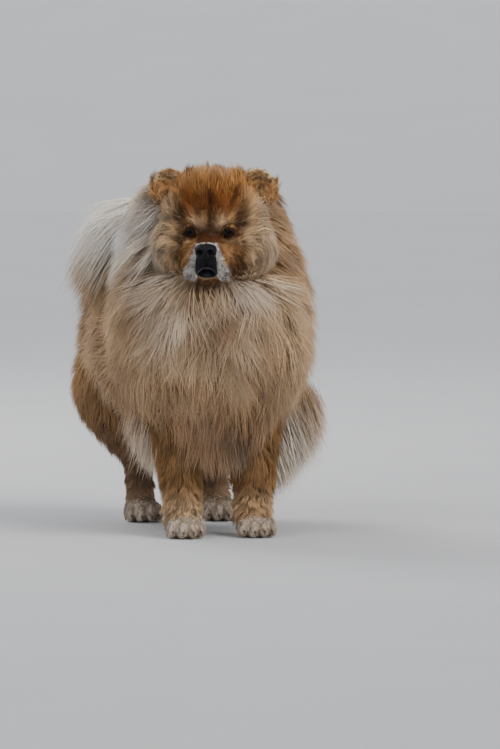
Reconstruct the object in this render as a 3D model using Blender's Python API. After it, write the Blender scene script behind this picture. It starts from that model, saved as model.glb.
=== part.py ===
"""A chow chow standing square, life size, as a still model.

Metres, +Z up. The dog faces -Y and its own left side is +X. The origin is on the floor under the middle
of the dog. Each named part of the body is its own closed solid, 0.3 mm clear of its neighbours.
"""

import math

import bmesh
import bpy
import numpy as np
from mathutils import Matrix, Vector

# The gap between neighbouring parts, the thinnest sliver kept, how far a corner may move for its faces to move
# by one, the floor, and the shift that puts the origin under the dog's middle
GAP = 0.0004
SLIVER = 0.000005
SWELL_LIMIT = 4
FLOOR = 0.0
TO_ORIGIN = Matrix.Translation((0.027, 0.001, 0))
# The quick solver, since the pieces are closed and have many faces
SOLVER = "MANIFOLD"

# The head's place: its middle, how far it turns to the dog's right, and how far the nose dips
HEAD_AT = Vector((-0.009, -0.197, 0.553))
HEAD_TURN = math.radians(-17)
HEAD_DIP = math.radians(2)

# Stations of the coat's outer surface: x, y, z, half width, half depth
TRUNK = (
    (0, -0.190, 0.375, 0.060, 0.075),
    (0, -0.150, 0.370, 0.105, 0.120),
    (0, -0.090, 0.360, 0.160, 0.165),
    (0, -0.030, 0.350, 0.184, 0.185),
    (0, 0.040, 0.348, 0.192, 0.187),
    (0, 0.110, 0.347, 0.196, 0.184),
    (0, 0.180, 0.345, 0.196, 0.177),
    (0, 0.240, 0.340, 0.180, 0.160),
    (0, 0.290, 0.335, 0.142, 0.130),
    (0, 0.322, 0.330, 0.085, 0.085),
)
RUFF = (
    (0, -0.120, 0.660, 0.050, 0.040),
    (0, -0.112, 0.642, 0.098, 0.072),
    (0, -0.100, 0.600, 0.132, 0.104),
    (0, -0.098, 0.545, 0.144, 0.128),
    (0, -0.110, 0.490, 0.164, 0.150),
    (0, -0.125, 0.440, 0.178, 0.165),
    (0, -0.130, 0.390, 0.187, 0.172),
    (0, -0.135, 0.340, 0.188, 0.172),
    (0, -0.140, 0.290, 0.180, 0.160),
    (0, -0.150, 0.240, 0.155, 0.132),
    (0, -0.165, 0.200, 0.115, 0.098),
    (0, -0.180, 0.165, 0.060, 0.055),
)
# Left legs, from the top down
FORELEG = (
    (0.074, -0.140, 0.300, 0.046, 0.060),
    (0.076, -0.148, 0.250, 0.053, 0.064),
    (0.074, -0.160, 0.200, 0.050, 0.060),
    (0.069, -0.170, 0.150, 0.044, 0.050),
    (0.066, -0.180, 0.100, 0.038, 0.042),
    (0.065, -0.186, 0.065, 0.034, 0.037),
    (0.065, -0.190, 0.030, 0.033, 0.036),
)
HINDLEG = (
    (0.080, 0.150, 0.380, 0.075, 0.085),
    (0.090, 0.155, 0.330, 0.098, 0.115),
    (0.096, 0.165, 0.280, 0.106, 0.130),
    (0.096, 0.178, 0.230, 0.102, 0.128),
    (0.088, 0.192, 0.185, 0.082, 0.105),
    (0.079, 0.205, 0.150, 0.053, 0.068),
    (0.074, 0.216, 0.120, 0.034, 0.044),
    (0.072, 0.214, 0.085, 0.029, 0.034),
    (0.071, 0.206, 0.055, 0.029, 0.033),
    (0.071, 0.200, 0.030, 0.030, 0.034),
)
# The tail's curl, from its root up over the back: x, y, z, half width, half depth
TAIL = (
    (0.000, 0.215, 0.440, 0.026, 0.024),
    (0.000, 0.248, 0.495, 0.034, 0.028),
    (-0.008, 0.246, 0.548, 0.042, 0.032),
    (-0.024, 0.195, 0.574, 0.050, 0.034),
    (-0.042, 0.125, 0.576, 0.052, 0.032),
    (-0.056, 0.060, 0.566, 0.044, 0.026),
    (-0.064, 0.015, 0.556, 0.026, 0.015),
)
BODY_SQUARENESS = 2.5
RUFF_SQUARENESS = 2.2
LEG_SQUARENESS = 2.1

# The coat: how far the core lies inside it, and its locks: length, width, thickness and rise above the core
RUFF_INSET = (0.040, 0.027)
RUFF_BACK = 0.013
TRUNK_INSET = 0.035
THIGH_INSET = 0.020
LOCK_TAPER = (0.72, 1.0, 0.66)
LOCK_ROOT = 0.009
RUFF_LOCK = (0.125, 0.072, 0.021, 0.038)
TRUNK_LOCK = (0.125, 0.082, 0.021, 0.034)
THIGH_LOCK = (0.085, 0.056, 0.015, 0.019)
PLUME_LOCK = (0.062, 0.017)
PLUME_LEAN = 1.1
FEATHER_LOCK = (0.048, 0.014)
# Rows of locks: place along the form, number round it, share of the full length
RUFF_ROWS = (
    (0.012, 5, 0.5),
    (0.07, 8, 0.7),
    (0.17, 10, 0.9),
    (0.29, 11, 1.0),
    (0.41, 11, 1.0),
    (0.53, 11, 1.0),
    (0.65, 10, 0.95),
    (0.76, 9, 0.8),
    (0.86, 5, 0.55),
)
TRUNK_ROWS = ((0.29, 9, 1.0), (0.45, 9, 1.0), (0.61, 9, 1.0), (0.77, 9, 1.0), (0.90, 7, 0.9), (0.965, 7, 1.0))
THIGH_ROWS = ((0.14, 7, 1.0), (0.28, 7, 1.0), (0.42, 7, 0.9), (0.54, 6, 0.7))
# The plume's fans, from each place along the tail: heading, length, how far it bends down
PLUME_FANS = (
    (-0.90, 0.10, 0.70, 0.165, 1.5),
    (-0.95, 0.15, 0.35, 0.200, 1.8),
    (-0.90, 0.25, 0.00, 0.215, 2.0),
    (0.60, 0.25, 0.55, 0.110, 1.6),
)
# Feathers behind the left elbow: x, y, z of the root, outward and backward heading, length
FEATHERS = (
    (0.100, -0.110, 0.255, 0.75, 0.30, 0.150),
    (0.100, -0.120, 0.220, 0.68, 0.25, 0.135),
    (0.090, -0.105, 0.235, 0.40, 0.45, 0.125),
    (0.092, -0.125, 0.185, 0.52, 0.30, 0.120),
    (0.075, -0.105, 0.205, 0.15, 0.50, 0.115),
    (0.080, -0.130, 0.150, 0.35, 0.30, 0.095),
    (0.068, -0.120, 0.165, 0.00, 0.45, 0.100),
)
FEATHERS_RIGHT = 0.72
FACE_MIDDLE = (-0.015, -0.300, 0.575)

# Paws: the height at which the leg meets the paw, the pad and the toes
PAW_TOP = 0.044
PAW_PAD = (0.033, 0.046, 0.030)
PAW_PAD_HEIGHT = 0.019
TOE = (0.0115, 0.022, 0.0185)
TOE_HEIGHT = 0.0165
TOE_PLACES = ((-0.0255, -0.020), (-0.0090, -0.034), (0.0090, -0.034), (0.0255, -0.020))
FOREPAW_AT = (0.065, -0.196)
HINDPAW_AT = (0.072, 0.186)

# The head's own sizes, in its frame: +X its left, -Y forward, +Z up, eyes level with the origin
EYE_AT = Vector((0.0345, -0.0610, 0.0))
EYE_RADIUS = 0.0112
LID_THICKNESS = 0.0026
NOSE_AT = Vector((0, -0.131, -0.031))
NOSE_SIZE = (0.0192, 0.0135, 0.0148)
EAR_AT = Vector((0.074, 0.010, 0.060))
EAR_HEIGHT = 0.049
EAR_WIDTH = 0.031
EAR_DEPTH = 0.020
EAR_SPLAY = math.radians(10)
EAR_TILT = math.radians(10)
EAR_OUTWARD = math.radians(4)
EAR_CUP = 0.010
EAR_LIP = 0.003
EAR_CURL = 0.008

# Fleshy forms of the head, then its hollows: x, y, z and half sizes; those off the middle are mirrored
HEAD_FORMS = (
    (0.000, 0.000, 0.030, 0.082, 0.082, 0.073),
    (0.000, 0.015, -0.030, 0.080, 0.085, 0.058),
    (0.052, -0.016, -0.028, 0.047, 0.052, 0.050),
    (0.000, -0.072, -0.034, 0.036, 0.062, 0.030),
    (0.028, -0.091, -0.060, 0.022, 0.039, 0.028),
    (0.000, -0.036, 0.012, 0.030, 0.044, 0.034),
    (0.020, -0.062, 0.018, 0.014, 0.016, 0.018),
    (0.041, -0.054, -0.020, 0.015, 0.016, 0.011),
)
SOCKETS = (0.0350, -0.0800, 0.000, 0.0165, 0.0200, 0.0098)
FURROW = (0.0000, -0.0900, 0.050, 0.0100, 0.0200, 0.0360)
# The chin, the notch down the upper lip's middle, and the arch of the mouth, likewise
CHIN = (0, -0.080, -0.0765, 0.0230, 0.0375, 0.0185)
PHILTRUM = (0, -0.1250, -0.0545, 0.0012, 0.0070, 0.0110)
MOUTH = (0, -0.114, -0.0870, 0.0200, 0.032, 0.0240)
# How softly forms and hollows run into each other, where rays to the surface start, and the neck's clearance
HEAD_BLEND = 0.0055
HOLLOW_BLEND = 0.0025
HEAD_CENTRE = Vector((0, -0.012, -0.020))
HEAD_CLEARANCE = 0.0030


def clear_scene():
    """Removes whatever the scene holds."""
    for thing in list(bpy.data.objects):
        bpy.data.objects.remove(thing)


def smooth(t, knots, values):
    """Values at t on a smooth curve through values at knots (cubic Hermite, Catmull-Rom slopes)."""
    knots, values = np.asarray(knots, float), np.asarray(values, float)
    slopes = np.gradient(values, knots, axis=0)
    t = np.clip(t, knots[0], knots[-1])
    i = np.clip(np.searchsorted(knots, t, side="right") - 1, 0, len(knots) - 2)
    span = (knots[i + 1] - knots[i])[..., None]
    s = (t - knots[i])[..., None] / span
    return (
        (2 * s**3 - 3 * s**2 + 1) * values[i]
        + (s**3 - 2 * s**2 + s) * span * slopes[i]
        + (3 * s**2 - 2 * s**3) * values[i + 1]
        + (s**3 - s**2) * span * slopes[i + 1]
    )


class Form:
    """A rounded form along a path: oval rings at t from 0 to 1, each with its own centre and two half widths."""

    def __init__(self, stations, side=(1, 0, 0), up=None, power=2.0):
        rows = np.array(stations, float)
        self.centres, self.halves = rows[:, :3], rows[:, 3:5]
        steps = np.linalg.norm(np.diff(self.centres, axis=0), axis=1)
        self.knots = np.concatenate([[0], np.cumsum(steps)]) / steps.sum()
        self.side = np.array(side, float)
        self.up = None if up is None else np.array(up, float)
        self.power = power

    def smaller(self, depth, ends=1.0, top=1.0, shift=(0, 0, 0)):
        """The same form inside this one by depth at its widest: its ends, and its first two fifths, by a share."""
        inner = Form.__new__(Form)
        inner.__dict__.update(self.__dict__)
        depth = np.broadcast_to(depth, 2)
        share = np.minimum(1, top + (1 - top) * self.knots / 0.4)[:, None]
        inner.halves = self.halves * (1 - share * depth / self.halves.max(0))
        span = (self.centres.max(0) - self.centres.min(0)) / 2
        middle = (self.centres.max(0) + self.centres.min(0)) / 2
        draw_in = np.where(np.arange(3) == span.argmax(), 1 - ends * depth[0] / span.max(), 1)
        inner.centres = middle + (self.centres - middle) * draw_in + np.array(shift)
        return inner

    def frame(self, t):
        """Centre, sideways and upward directions, and half widths at t."""
        centre = smooth(t, self.knots, self.centres)
        halves = smooth(t, self.knots, self.halves)
        side = np.broadcast_to(self.side, centre.shape)
        if self.up is not None:
            return centre, side, np.broadcast_to(self.up, centre.shape), halves
        step = 0.01
        ahead = smooth(np.clip(t + step, 0, 1), self.knots, self.centres)
        behind = smooth(np.clip(t - step, 0, 1), self.knots, self.centres)
        along = ahead - behind
        up = np.cross(along, side)
        return centre, side, up / np.linalg.norm(up, axis=-1, keepdims=True), halves

    def point(self, t, angle):
        """The surface at t along the path and angle round it: a superellipse, sin and cos raised to 2 / power."""
        t, angle = np.broadcast_arrays(np.asarray(t, float), np.asarray(angle, float))
        centre, side, up, halves = self.frame(t)
        c, s = np.cos(angle), np.sin(angle)
        across = np.sign(c) * np.abs(c) ** (2 / self.power) * halves[..., 0]
        over = np.sign(s) * np.abs(s) ** (2 / self.power) * halves[..., 1]
        return centre + across[..., None] * side + over[..., None] * up

    def mesh(self, name, along=16, around=24, grow=0.0):
        """The closed mesh of the form, its ends rounded to a pole, moved outwards by grow."""
        t = 0.5 - 0.5 * np.cos(np.pi * (np.arange(along) + 0.5) / along)
        angle = 2 * np.pi * np.arange(around) / around
        rings = self.point(t[:, None], angle[None, :])
        first, last = self.frame(np.array([0.0]))[0][0], self.frame(np.array([1.0]))[0][0]
        return ring_mesh(name, rings, first, last, grow)


def ring_mesh(name, rings, first=None, last=None, grow=0.0):
    """A closed mesh from rings of points (ring, place, xyz) and the poles at its two ends."""
    count, around = rings.shape[:2]
    first = rings[0].mean(0) if first is None else first
    last = rings[-1].mean(0) if last is None else last
    points = np.concatenate([rings.reshape(-1, 3), [first], [last]])
    here = np.arange(count - 1)[:, None] * around + np.arange(around)[None, :]
    beside = np.arange(count - 1)[:, None] * around + (np.arange(around) + 1)[None, :] % around
    quads = np.stack([here, beside, beside + around, here + around], -1).reshape(-1, 4)
    place = np.arange(around)
    onward = (place + 1) % around
    base = (count - 1) * around
    start = np.stack([np.full(around, count * around), onward, place], -1)
    end = np.stack([np.full(around, count * around + 1), base + place, base + onward], -1)
    thing = new_object(name, points, quads.tolist() + start.tolist() + end.tolist())
    tidy_normals(thing)
    if grow:
        swell(thing, grow)
    return thing


def new_object(name, points, faces):
    """A linked mesh object from points and faces."""
    mesh = bpy.data.meshes.new(name)
    mesh.from_pydata([tuple(p) for p in points], [], [tuple(f) for f in faces])
    thing = bpy.data.objects.new(name, mesh)
    bpy.context.scene.collection.objects.link(thing)
    return thing


def tidy_normals(thing):
    """Turns every face of a closed mesh outwards."""
    work = bmesh.new()
    work.from_mesh(thing.data)
    bmesh.ops.recalc_face_normals(work, faces=work.faces)
    if work.calc_volume(signed=True) < 0:
        bmesh.ops.reverse_faces(work, faces=work.faces)
    work.to_mesh(thing.data)
    work.free()


def swell(thing, distance):
    """Moves each vertex outwards so that the faces round it shift by a distance, as nearly as least squares can."""
    mesh = thing.data
    mesh.calc_loop_triangles()
    points = np.empty(len(mesh.vertices) * 3, np.float32)
    mesh.vertices.foreach_get("co", points)
    points = points.reshape(-1, 3).astype(float)
    faces = np.empty(len(mesh.loop_triangles) * 3, np.int32)
    mesh.loop_triangles.foreach_get("vertices", faces)
    faces = faces.reshape(-1, 3)
    corners = points[faces]
    normals = np.cross(corners[:, 1] - corners[:, 0], corners[:, 2] - corners[:, 0])
    areas = np.linalg.norm(normals, axis=1)
    normals /= areas[:, None] + 1e-30
    spread, pull = np.zeros((len(points), 3, 3)), np.zeros((len(points), 3))
    for corner in range(3):
        one, two = corners[:, (corner + 1) % 3], corners[:, (corner + 2) % 3]
        one, two = one - corners[:, corner], two - corners[:, corner]
        cosine = np.sum(one * two, 1) / (np.linalg.norm(one, axis=1) * np.linalg.norm(two, axis=1) + 1e-30)
        weight = np.arccos(np.clip(cosine, -1, 1)) * (areas > 1e-10)
        np.add.at(spread, faces[:, corner], weight[:, None, None] * normals[:, :, None] * normals[:, None, :])
        np.add.at(pull, faces[:, corner], weight[:, None] * normals)
    size = np.trace(spread, axis1=1, axis2=2)[:, None, None]
    moves = np.linalg.solve(spread + np.eye(3) * (0.004 * size + 1e-9), pull[..., None])[..., 0]
    lengths = np.linalg.norm(moves, axis=1, keepdims=True)
    moves *= np.minimum(1, SWELL_LIMIT / np.maximum(lengths, 1e-9)) * distance
    mesh.vertices.foreach_set("co", (points + moves).astype(np.float32).ravel())
    mesh.update()


def ball(name, centre, radii, segments=16, rings=10):
    """An ellipsoid."""
    t = np.pi * (np.arange(rings - 1) + 1) / rings
    angle = 2 * np.pi * np.arange(segments) / segments
    unit = np.stack(
        [
            np.sin(t)[:, None] * np.cos(angle)[None, :],
            np.sin(t)[:, None] * np.sin(angle)[None, :],
            np.repeat(np.cos(t)[:, None], segments, 1),
        ],
        -1,
    )
    radii, centre = np.array(radii, float), np.array(centre, float)
    poles = np.array([[0, 0, 1], [0, 0, -1]]) * radii + centre
    return ring_mesh(name, unit * radii + centre, poles[0], poles[1])


def block(name, low, high):
    """A box from its lowest to its highest corner."""
    corners = [(x, y, z) for x in (low[0], high[0]) for y in (low[1], high[1]) for z in (low[2], high[2])]
    faces = [(0, 1, 3, 2), (4, 6, 7, 5), (0, 4, 5, 1), (2, 3, 7, 6), (0, 2, 6, 4), (1, 5, 7, 3)]
    return new_object(name, corners, faces)


def combine(thing, others, operation):
    """Applies one Boolean of thing with all the others, which are then removed."""
    helpers = bpy.data.collections.new("helpers")
    bpy.context.scene.collection.children.link(helpers)
    for other in others:
        for home in list(other.users_collection):
            home.objects.unlink(other)
        helpers.objects.link(other)
    step = thing.modifiers.new(operation.title(), "BOOLEAN")
    step.operation = operation
    step.operand_type = "COLLECTION"
    step.collection = helpers
    step.solver = SOLVER
    bpy.context.view_layer.update()
    graph = bpy.context.evaluated_depsgraph_get()
    mesh = bpy.data.meshes.new_from_object(thing.evaluated_get(graph))
    thing.modifiers.clear()
    thing.data = mesh
    for other in others:
        bpy.data.objects.remove(other)
    bpy.data.collections.remove(helpers)
    keep_largest(thing)
    return thing


def keep_largest(thing):
    """Leaves only the largest closed surface of a mesh."""
    work = bmesh.new()
    work.from_mesh(thing.data)
    bmesh.ops.triangulate(work, faces=work.faces)
    bmesh.ops.remove_doubles(work, verts=work.verts, dist=SLIVER)
    bmesh.ops.dissolve_degenerate(work, dist=SLIVER, edges=work.edges)
    bmesh.ops.triangulate(work, faces=work.faces)
    left, shells = set(work.faces), []
    while left:
        shell, edge = set(), [left.pop()]
        while edge:
            face = edge.pop()
            shell.add(face)
            for link in face.edges:
                for other in link.link_faces if len(link.link_faces) == 2 else ():
                    if other in left:
                        left.discard(other)
                        edge.append(other)
        shells.append(shell)
    shells.sort(key=lambda shell: sum(f.calc_area() for f in shell))
    for shell in shells[:-1]:
        bmesh.ops.delete(work, geom=list(shell), context="FACES")
    bmesh.ops.delete(work, geom=[v for v in work.verts if not v.link_faces], context="VERTS")
    work.to_mesh(thing.data)
    work.free()


def copy_of(thing, grow=0.0):
    """A copy of an object's mesh, moved outwards by grow."""
    twin = bpy.data.objects.new(thing.name + "_copy", thing.data.copy())
    bpy.context.scene.collection.objects.link(twin)
    twin.matrix_world = thing.matrix_world
    if grow:
        swell(twin, grow)
    return twin


def clear_of(thing, parts):
    """Cuts a thing clear of finished parts: first of each swollen by the gap, then of each as it is."""
    for grow in (GAP, 0.0):
        for part in parts:
            combine(thing, [copy_of(part, grow)], "DIFFERENCE")


def mirrored(stations):
    """The stations of the dog's right side from those of its left."""
    return tuple((-row[0], *row[1:]) for row in stations)


def finish(thing, colour, roughness=0.85):
    """Gives a part its plain material and rounds its shading."""
    material = bpy.data.materials.new(thing.name)
    material.use_nodes = True
    shader = material.node_tree.nodes["Principled BSDF"]
    shader.inputs["Base Color"].default_value = (*colour, 1)
    shader.inputs["Roughness"].default_value = roughness
    thing.data.materials.clear()
    thing.data.materials.append(material)
    thing.data.shade_smooth()
    thing.data.set_sharp_from_angle(angle=math.radians(40))


# Colours, as linear values
GOLD = (0.36, 0.18, 0.065)
CREAM = (0.55, 0.40, 0.25)
RUST = (0.27, 0.10, 0.028)
BLACK = (0.012, 0.012, 0.016)


def head_place():
    """The head's frame in the world: dipped about its own X, then turned about the vertical."""
    turn = Matrix.Rotation(HEAD_TURN, 4, "Z") @ Matrix.Rotation(HEAD_DIP, 4, "X")
    return Matrix.Translation(HEAD_AT) @ turn


def both_sides(rows):
    """Rows, with a mirrored twin after each one that is off the middle."""
    return [twin for row in rows for twin in ((row, (-row[0], *row[1:])) if row[0] else (row,))]


def blended(points, rows, blend):
    """How far points lie outside a soft union of ellipsoids: -k log of the sum of exp(-distance / k)."""
    total = np.zeros(points.shape[:-1])
    for x, y, z, a, b, c in both_sides(rows):
        sizes = np.array([a, b, c])
        scaled = (points - np.array([x, y, z])) / sizes
        distance = (np.linalg.norm(scaled, axis=-1) - 1) * sizes.min()
        total += np.exp(-np.clip(distance, -0.04, 0.2) / blend)
    return -blend * np.log(total + 1e-30)


def head_depth(points):
    """How far points lie outside the head: its fleshy forms less the eye sockets and the forehead's furrow."""
    solid = blended(points, HEAD_FORMS, HEAD_BLEND)
    hollow = -blended(points, (SOCKETS, FURROW), HOLLOW_BLEND)
    return HOLLOW_BLEND * np.logaddexp(solid / HOLLOW_BLEND, hollow / HOLLOW_BLEND)


def head_rings(along, around, grow):
    """The head's surface as rings round its forward axis: on each ray from its centre, where it leaves the head."""
    polar = np.pi * ((np.arange(along) + 0.5) / along) ** 1.35
    angle = 2 * np.pi * np.arange(around) / around
    rays = np.stack(
        [
            np.sin(polar)[:, None] * np.cos(angle)[None, :],
            np.repeat(-np.cos(polar)[:, None], around, 1),
            np.sin(polar)[:, None] * np.sin(angle)[None, :],
        ],
        -1,
    )
    near, centre = np.full(rays.shape[:2], 0.02), np.array(HEAD_CENTRE)
    for reach in np.linspace(0.02, 0.16, 71):
        inside = head_depth(centre + rays * reach) < grow
        near = np.where(inside, reach, near)
    far = near + 0.002
    for _ in range(14):
        middle = (near + far) / 2
        inside = head_depth(centre + rays * middle[..., None]) < grow
        near, far = np.where(inside, middle, near), np.where(inside, far, middle)
    return centre + rays * near[..., None]


def head_shell(name, grow=0.0, along=20, around=28):
    """The head without its openings, in its own frame."""
    return ring_mesh(name, head_rings(along, around, grow))


def lid_arc(name, sign, upper):
    """One eyelid: a tapered roll along an arc over the eyeball."""
    count, around = 7, 5
    sweep = np.linspace(-1, 1, count)
    reach = EYE_RADIUS + 0.0004
    lift = 0.55 if upper else -0.42
    x = sweep * reach * 0.96
    z = lift * reach * np.sqrt(np.clip(1 - sweep**2, 0, 1)) + 0.0006
    y = -np.sqrt(np.clip(reach**2 - x**2 * 0.92 - z**2, 1e-9, None))
    path = np.stack([x, y, z], -1)
    thick = LID_THICKNESS * (0.55 + 0.45 * np.sqrt(np.clip(1 - sweep**2, 0, 1)))
    along = np.gradient(path, axis=0)
    along /= np.linalg.norm(along, axis=1, keepdims=True)
    outward = path / np.linalg.norm(path, axis=1, keepdims=True)
    across = np.cross(along, outward)
    turn = 2 * np.pi * np.arange(around) / around
    rings = path[:, None] + thick[:, None, None] * (
        np.cos(turn)[None, :, None] * outward[:, None] + np.sin(turn)[None, :, None] * across[:, None]
    )
    centre = np.array([sign * EYE_AT.x, EYE_AT.y, EYE_AT.z])
    slant = np.array(Matrix.Rotation(sign * math.radians(-12), 3, "Y"))
    outward_turn = np.array(Matrix.Rotation(sign * math.radians(22), 3, "Z"))
    return ring_mesh(name, rings @ slant.T @ outward_turn.T + centre)


def ear_mesh(name, sign, grow=0.0):
    """One ear: a thick cup with a rounded tip, each level a crescent open to the front."""
    levels, around = 7, 14
    height = np.sin(np.linspace(-0.45, np.pi / 2, levels + 1))[:-1]
    turn = 2 * np.pi * np.arange(around) / around
    narrow = (1 - np.clip(height, 0, 1)[:, None] ** 2.6) ** 0.5 * (1 + 0.9 * np.clip(height, -1, 0)[:, None])
    c, s = np.cos(turn)[None, :], np.sin(turn)[None, :]
    wall = np.where(s > 0, EAR_DEPTH * s, EAR_CUP * s**2 - EAR_LIP * np.abs(s) * (1 - np.abs(s)) * 4)
    forward = EAR_CURL * np.clip(height, 0, 1)[:, None] ** 2
    x = EAR_WIDTH * narrow * c
    y = narrow * wall - forward
    z = np.broadcast_to(EAR_HEIGHT * height[:, None], x.shape)
    tip = np.array([0, -EAR_CURL, EAR_HEIGHT])
    place = (
        Matrix.Translation((sign * EAR_AT.x, EAR_AT.y, EAR_AT.z))
        @ Matrix.Rotation(sign * EAR_OUTWARD, 4, "Z")
        @ Matrix.Rotation(sign * EAR_SPLAY, 4, "Y")
        @ Matrix.Rotation(EAR_TILT, 4, "X")
    )
    thing = ring_mesh(name, np.stack([x, y, z], -1), last=tip, grow=grow)
    thing.data.transform(place)
    return thing


def nose_mesh(name, grow=0.0):
    """The nose leather: a rounded block, wider above, its front nearly flat."""
    along, around = 7, 14
    t = np.pi * (np.arange(along) + 0.5) / along
    turn = 2 * np.pi * np.arange(around) / around
    power = 2 / 2.7
    disc = np.sin(t) ** 0.62
    c, s = np.cos(turn), np.sin(turn)
    x = disc[:, None] * (np.sign(c) * np.abs(c) ** power)[None, :]
    z = disc[:, None] * (np.sign(s) * np.abs(s) ** power)[None, :]
    y = -np.repeat(np.cos(t)[:, None], around, 1)
    x = x * (1 + 0.16 * z)
    rings = np.stack([x, y, z], -1) * np.array(NOSE_SIZE) + np.array(NOSE_AT)
    return ring_mesh(name, rings, grow=grow)


def nostrils():
    """Two comma-shaped hollows, wide below and turned out to the side."""
    pieces = []
    for sign in (1, -1):
        hollow = ball("nostril", (0, 0, 0), (0.0042, 0.0060, 0.0036), 7, 5)
        slit = ball("slit", (0.0055, 0.0010, -0.0028), (0.0052, 0.0048, 0.0017), 7, 4)
        combine(hollow, [slit], "UNION")
        place = Matrix.Translation((sign * 0.0088, NOSE_AT.y - NOSE_SIZE[1] * 0.88, NOSE_AT.z + 0.0005))
        hollow.data.transform(place @ Matrix.Scale(sign, 4, (1, 0, 0)))
        tidy_normals(hollow)
        pieces.append(hollow)
    return pieces


def jaw_mesh(name, grow=0.0):
    """The lower jaw: the lip behind the upper lips, and the chin below it."""
    chin = ball(name, CHIN[:3], CHIN[3:], 14, 8)
    if grow:
        swell(chin, grow)
    return chin


def philtrum():
    """A thin wedge down the middle of the upper lip."""
    return ball("philtrum", PHILTRUM[:3], PHILTRUM[3:], 6, 5)


def mouth_cut():
    """The opening between the upper lips, an arch that falls to each side of the chin."""
    return ball("mouth", MOUTH[:3], MOUTH[3:], 14, 8)


def build_head():
    """The head and what sits in it: nose, eyes, ears and lower jaw."""
    place = head_place()
    head = head_shell("head")
    lids = [lid_arc("lid", sign, upper) for sign in (1, -1) for upper in (True, False)]
    combine(head, lids, "UNION")
    sockets = [
        ball("socket", (sign * EYE_AT.x, EYE_AT.y, EYE_AT.z), (EYE_RADIUS + GAP,) * 3, 12, 7) for sign in (1, -1)
    ]
    cuts = [*sockets, nose_mesh("nose_cut", GAP), mouth_cut(), jaw_mesh("jaw_cut", GAP), philtrum()]
    combine(head, cuts, "DIFFERENCE")

    nose = nose_mesh("nose")
    combine(nose, nostrils(), "DIFFERENCE")

    jaw = jaw_mesh("lower_jaw")
    combine(jaw, [nose_mesh("nose_cut", GAP)], "DIFFERENCE")

    eyes, ears = [], []
    for side, sign in (("left", 1), ("right", -1)):
        eyes.append(ball("eye_" + side, (sign * EYE_AT.x, EYE_AT.y, EYE_AT.z), (EYE_RADIUS,) * 3, 12, 7))
        ear = ear_mesh("ear_" + side, sign)
        combine(ear, [head_shell("head_cut", GAP)], "DIFFERENCE")
        ears.append(ear)
    for thing in (head, nose, jaw, *eyes, *ears):
        thing.data.transform(place)
    finish(head, RUST)
    finish(nose, BLACK, 0.35)
    finish(jaw, CREAM)
    for eye in eyes:
        finish(eye, BLACK, 0.08)
    for ear in ears:
        finish(ear, RUST)


def head_cutter(name):
    """The head with its ears and jaw, a little larger and plainer, in its place in the world."""
    cutter = head_shell(name, HEAD_CLEARANCE, 18, 28)
    pieces = [ear_mesh("ear_cut", sign, GAP) for sign in (1, -1)] + [jaw_mesh("jaw_cut", GAP)]
    combine(cutter, pieces, "UNION")
    cutter.data.transform(head_place())
    return cutter


trunk = Form(TRUNK, up=(0, 0, 1), power=BODY_SQUARENESS)
ruff = Form(RUFF, up=(0, 1, 0), power=RUFF_SQUARENESS)
forelegs = [Form(rows, up=(0, 1, 0), power=LEG_SQUARENESS) for rows in (FORELEG, mirrored(FORELEG))]
hindlegs = [Form(rows, up=(0, 1, 0), power=LEG_SQUARENESS) for rows in (HINDLEG, mirrored(HINDLEG))]
tail = Form(TAIL)


def lock(name, path, outward, width, thick):
    """One lock of coat: a tapering three-sided band along a path, flat below, ridged above, ending in a point."""
    path, outward = np.array(path), np.array(outward)
    along = np.gradient(path, axis=0)
    across = np.cross(along, outward)
    across /= np.linalg.norm(across, axis=1, keepdims=True)
    over = np.cross(across, along)
    over /= np.linalg.norm(over, axis=1, keepdims=True)
    share = np.array(LOCK_TAPER)[:, None]
    middle, across, over = path[:-1], across[:-1] * width / 2 * share, over[:-1] * thick * share
    rings = np.stack([middle - across - over * 0.3, middle + over * 0.7, middle + across - over * 0.3], 1)
    return ring_mesh(name, rings, last=path[-1])


def follow(form, t, angle, lie, length, rise):
    """A line over a form from t and angle, combed along the coat's lie while it rises: its points and normals."""
    steps = len(LOCK_TAPER)
    small, step = 0.002, length / steps
    path, outward = [], []
    heading = None
    for k in range(steps + 1):
        if small < t < 1 - small:
            place = form.point(t, angle)
            along = (form.point(t + small, angle) - form.point(t - small, angle)) / (2 * small)
            around = (form.point(t, angle + small) - form.point(t, angle - small)) / (2 * small)
            normal = np.cross(along, around)
            normal /= np.linalg.norm(normal) + 1e-12
            normal *= np.sign(normal @ (place - form.frame(np.array(t))[0])) or 1.0
            heading = np.array(lie(place))
            heading -= normal * (heading @ normal)
            heading /= np.linalg.norm(heading)
            shift = np.linalg.lstsq(np.stack([along, around], 1), heading * step, rcond=None)[0]
            t, angle = t + shift[0], angle + shift[1]
        else:
            heading = heading + np.array([0, 0, -0.4])
            heading /= np.linalg.norm(heading)
            place = place + heading * step
        path.append(place + normal * (rise * (k / steps) ** 0.8 - LOCK_ROOT * (1 - k / steps) ** 2))
        outward.append(normal)
    return path, outward


def combed(form, rows, lie, size, keep, seed):
    """Locks in staggered rows over a form. A row is its place, its number of locks and their share of the length."""
    length, width, thick, rise = size
    chance = np.random.default_rng(seed)
    locks = []
    for number, (t, count, share) in enumerate(rows):
        for place in range(count):
            angle = 2 * np.pi * (place + 0.5 * (number % 2) + chance.uniform(-0.18, 0.18)) / count
            root_t = t + chance.uniform(-0.012, 0.012)
            stretch, swell_by = chance.uniform(0.82, 1.18), chance.uniform(0.75, 1.1)
            root = form.point(root_t, angle)
            if not keep(root):
                continue
            path, outward = follow(form, root_t, angle, lie, length * share * stretch, rise * swell_by)
            locks.append(lock("lock", path, outward, width * chance.uniform(0.85, 1.15), thick))
    return locks


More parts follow.
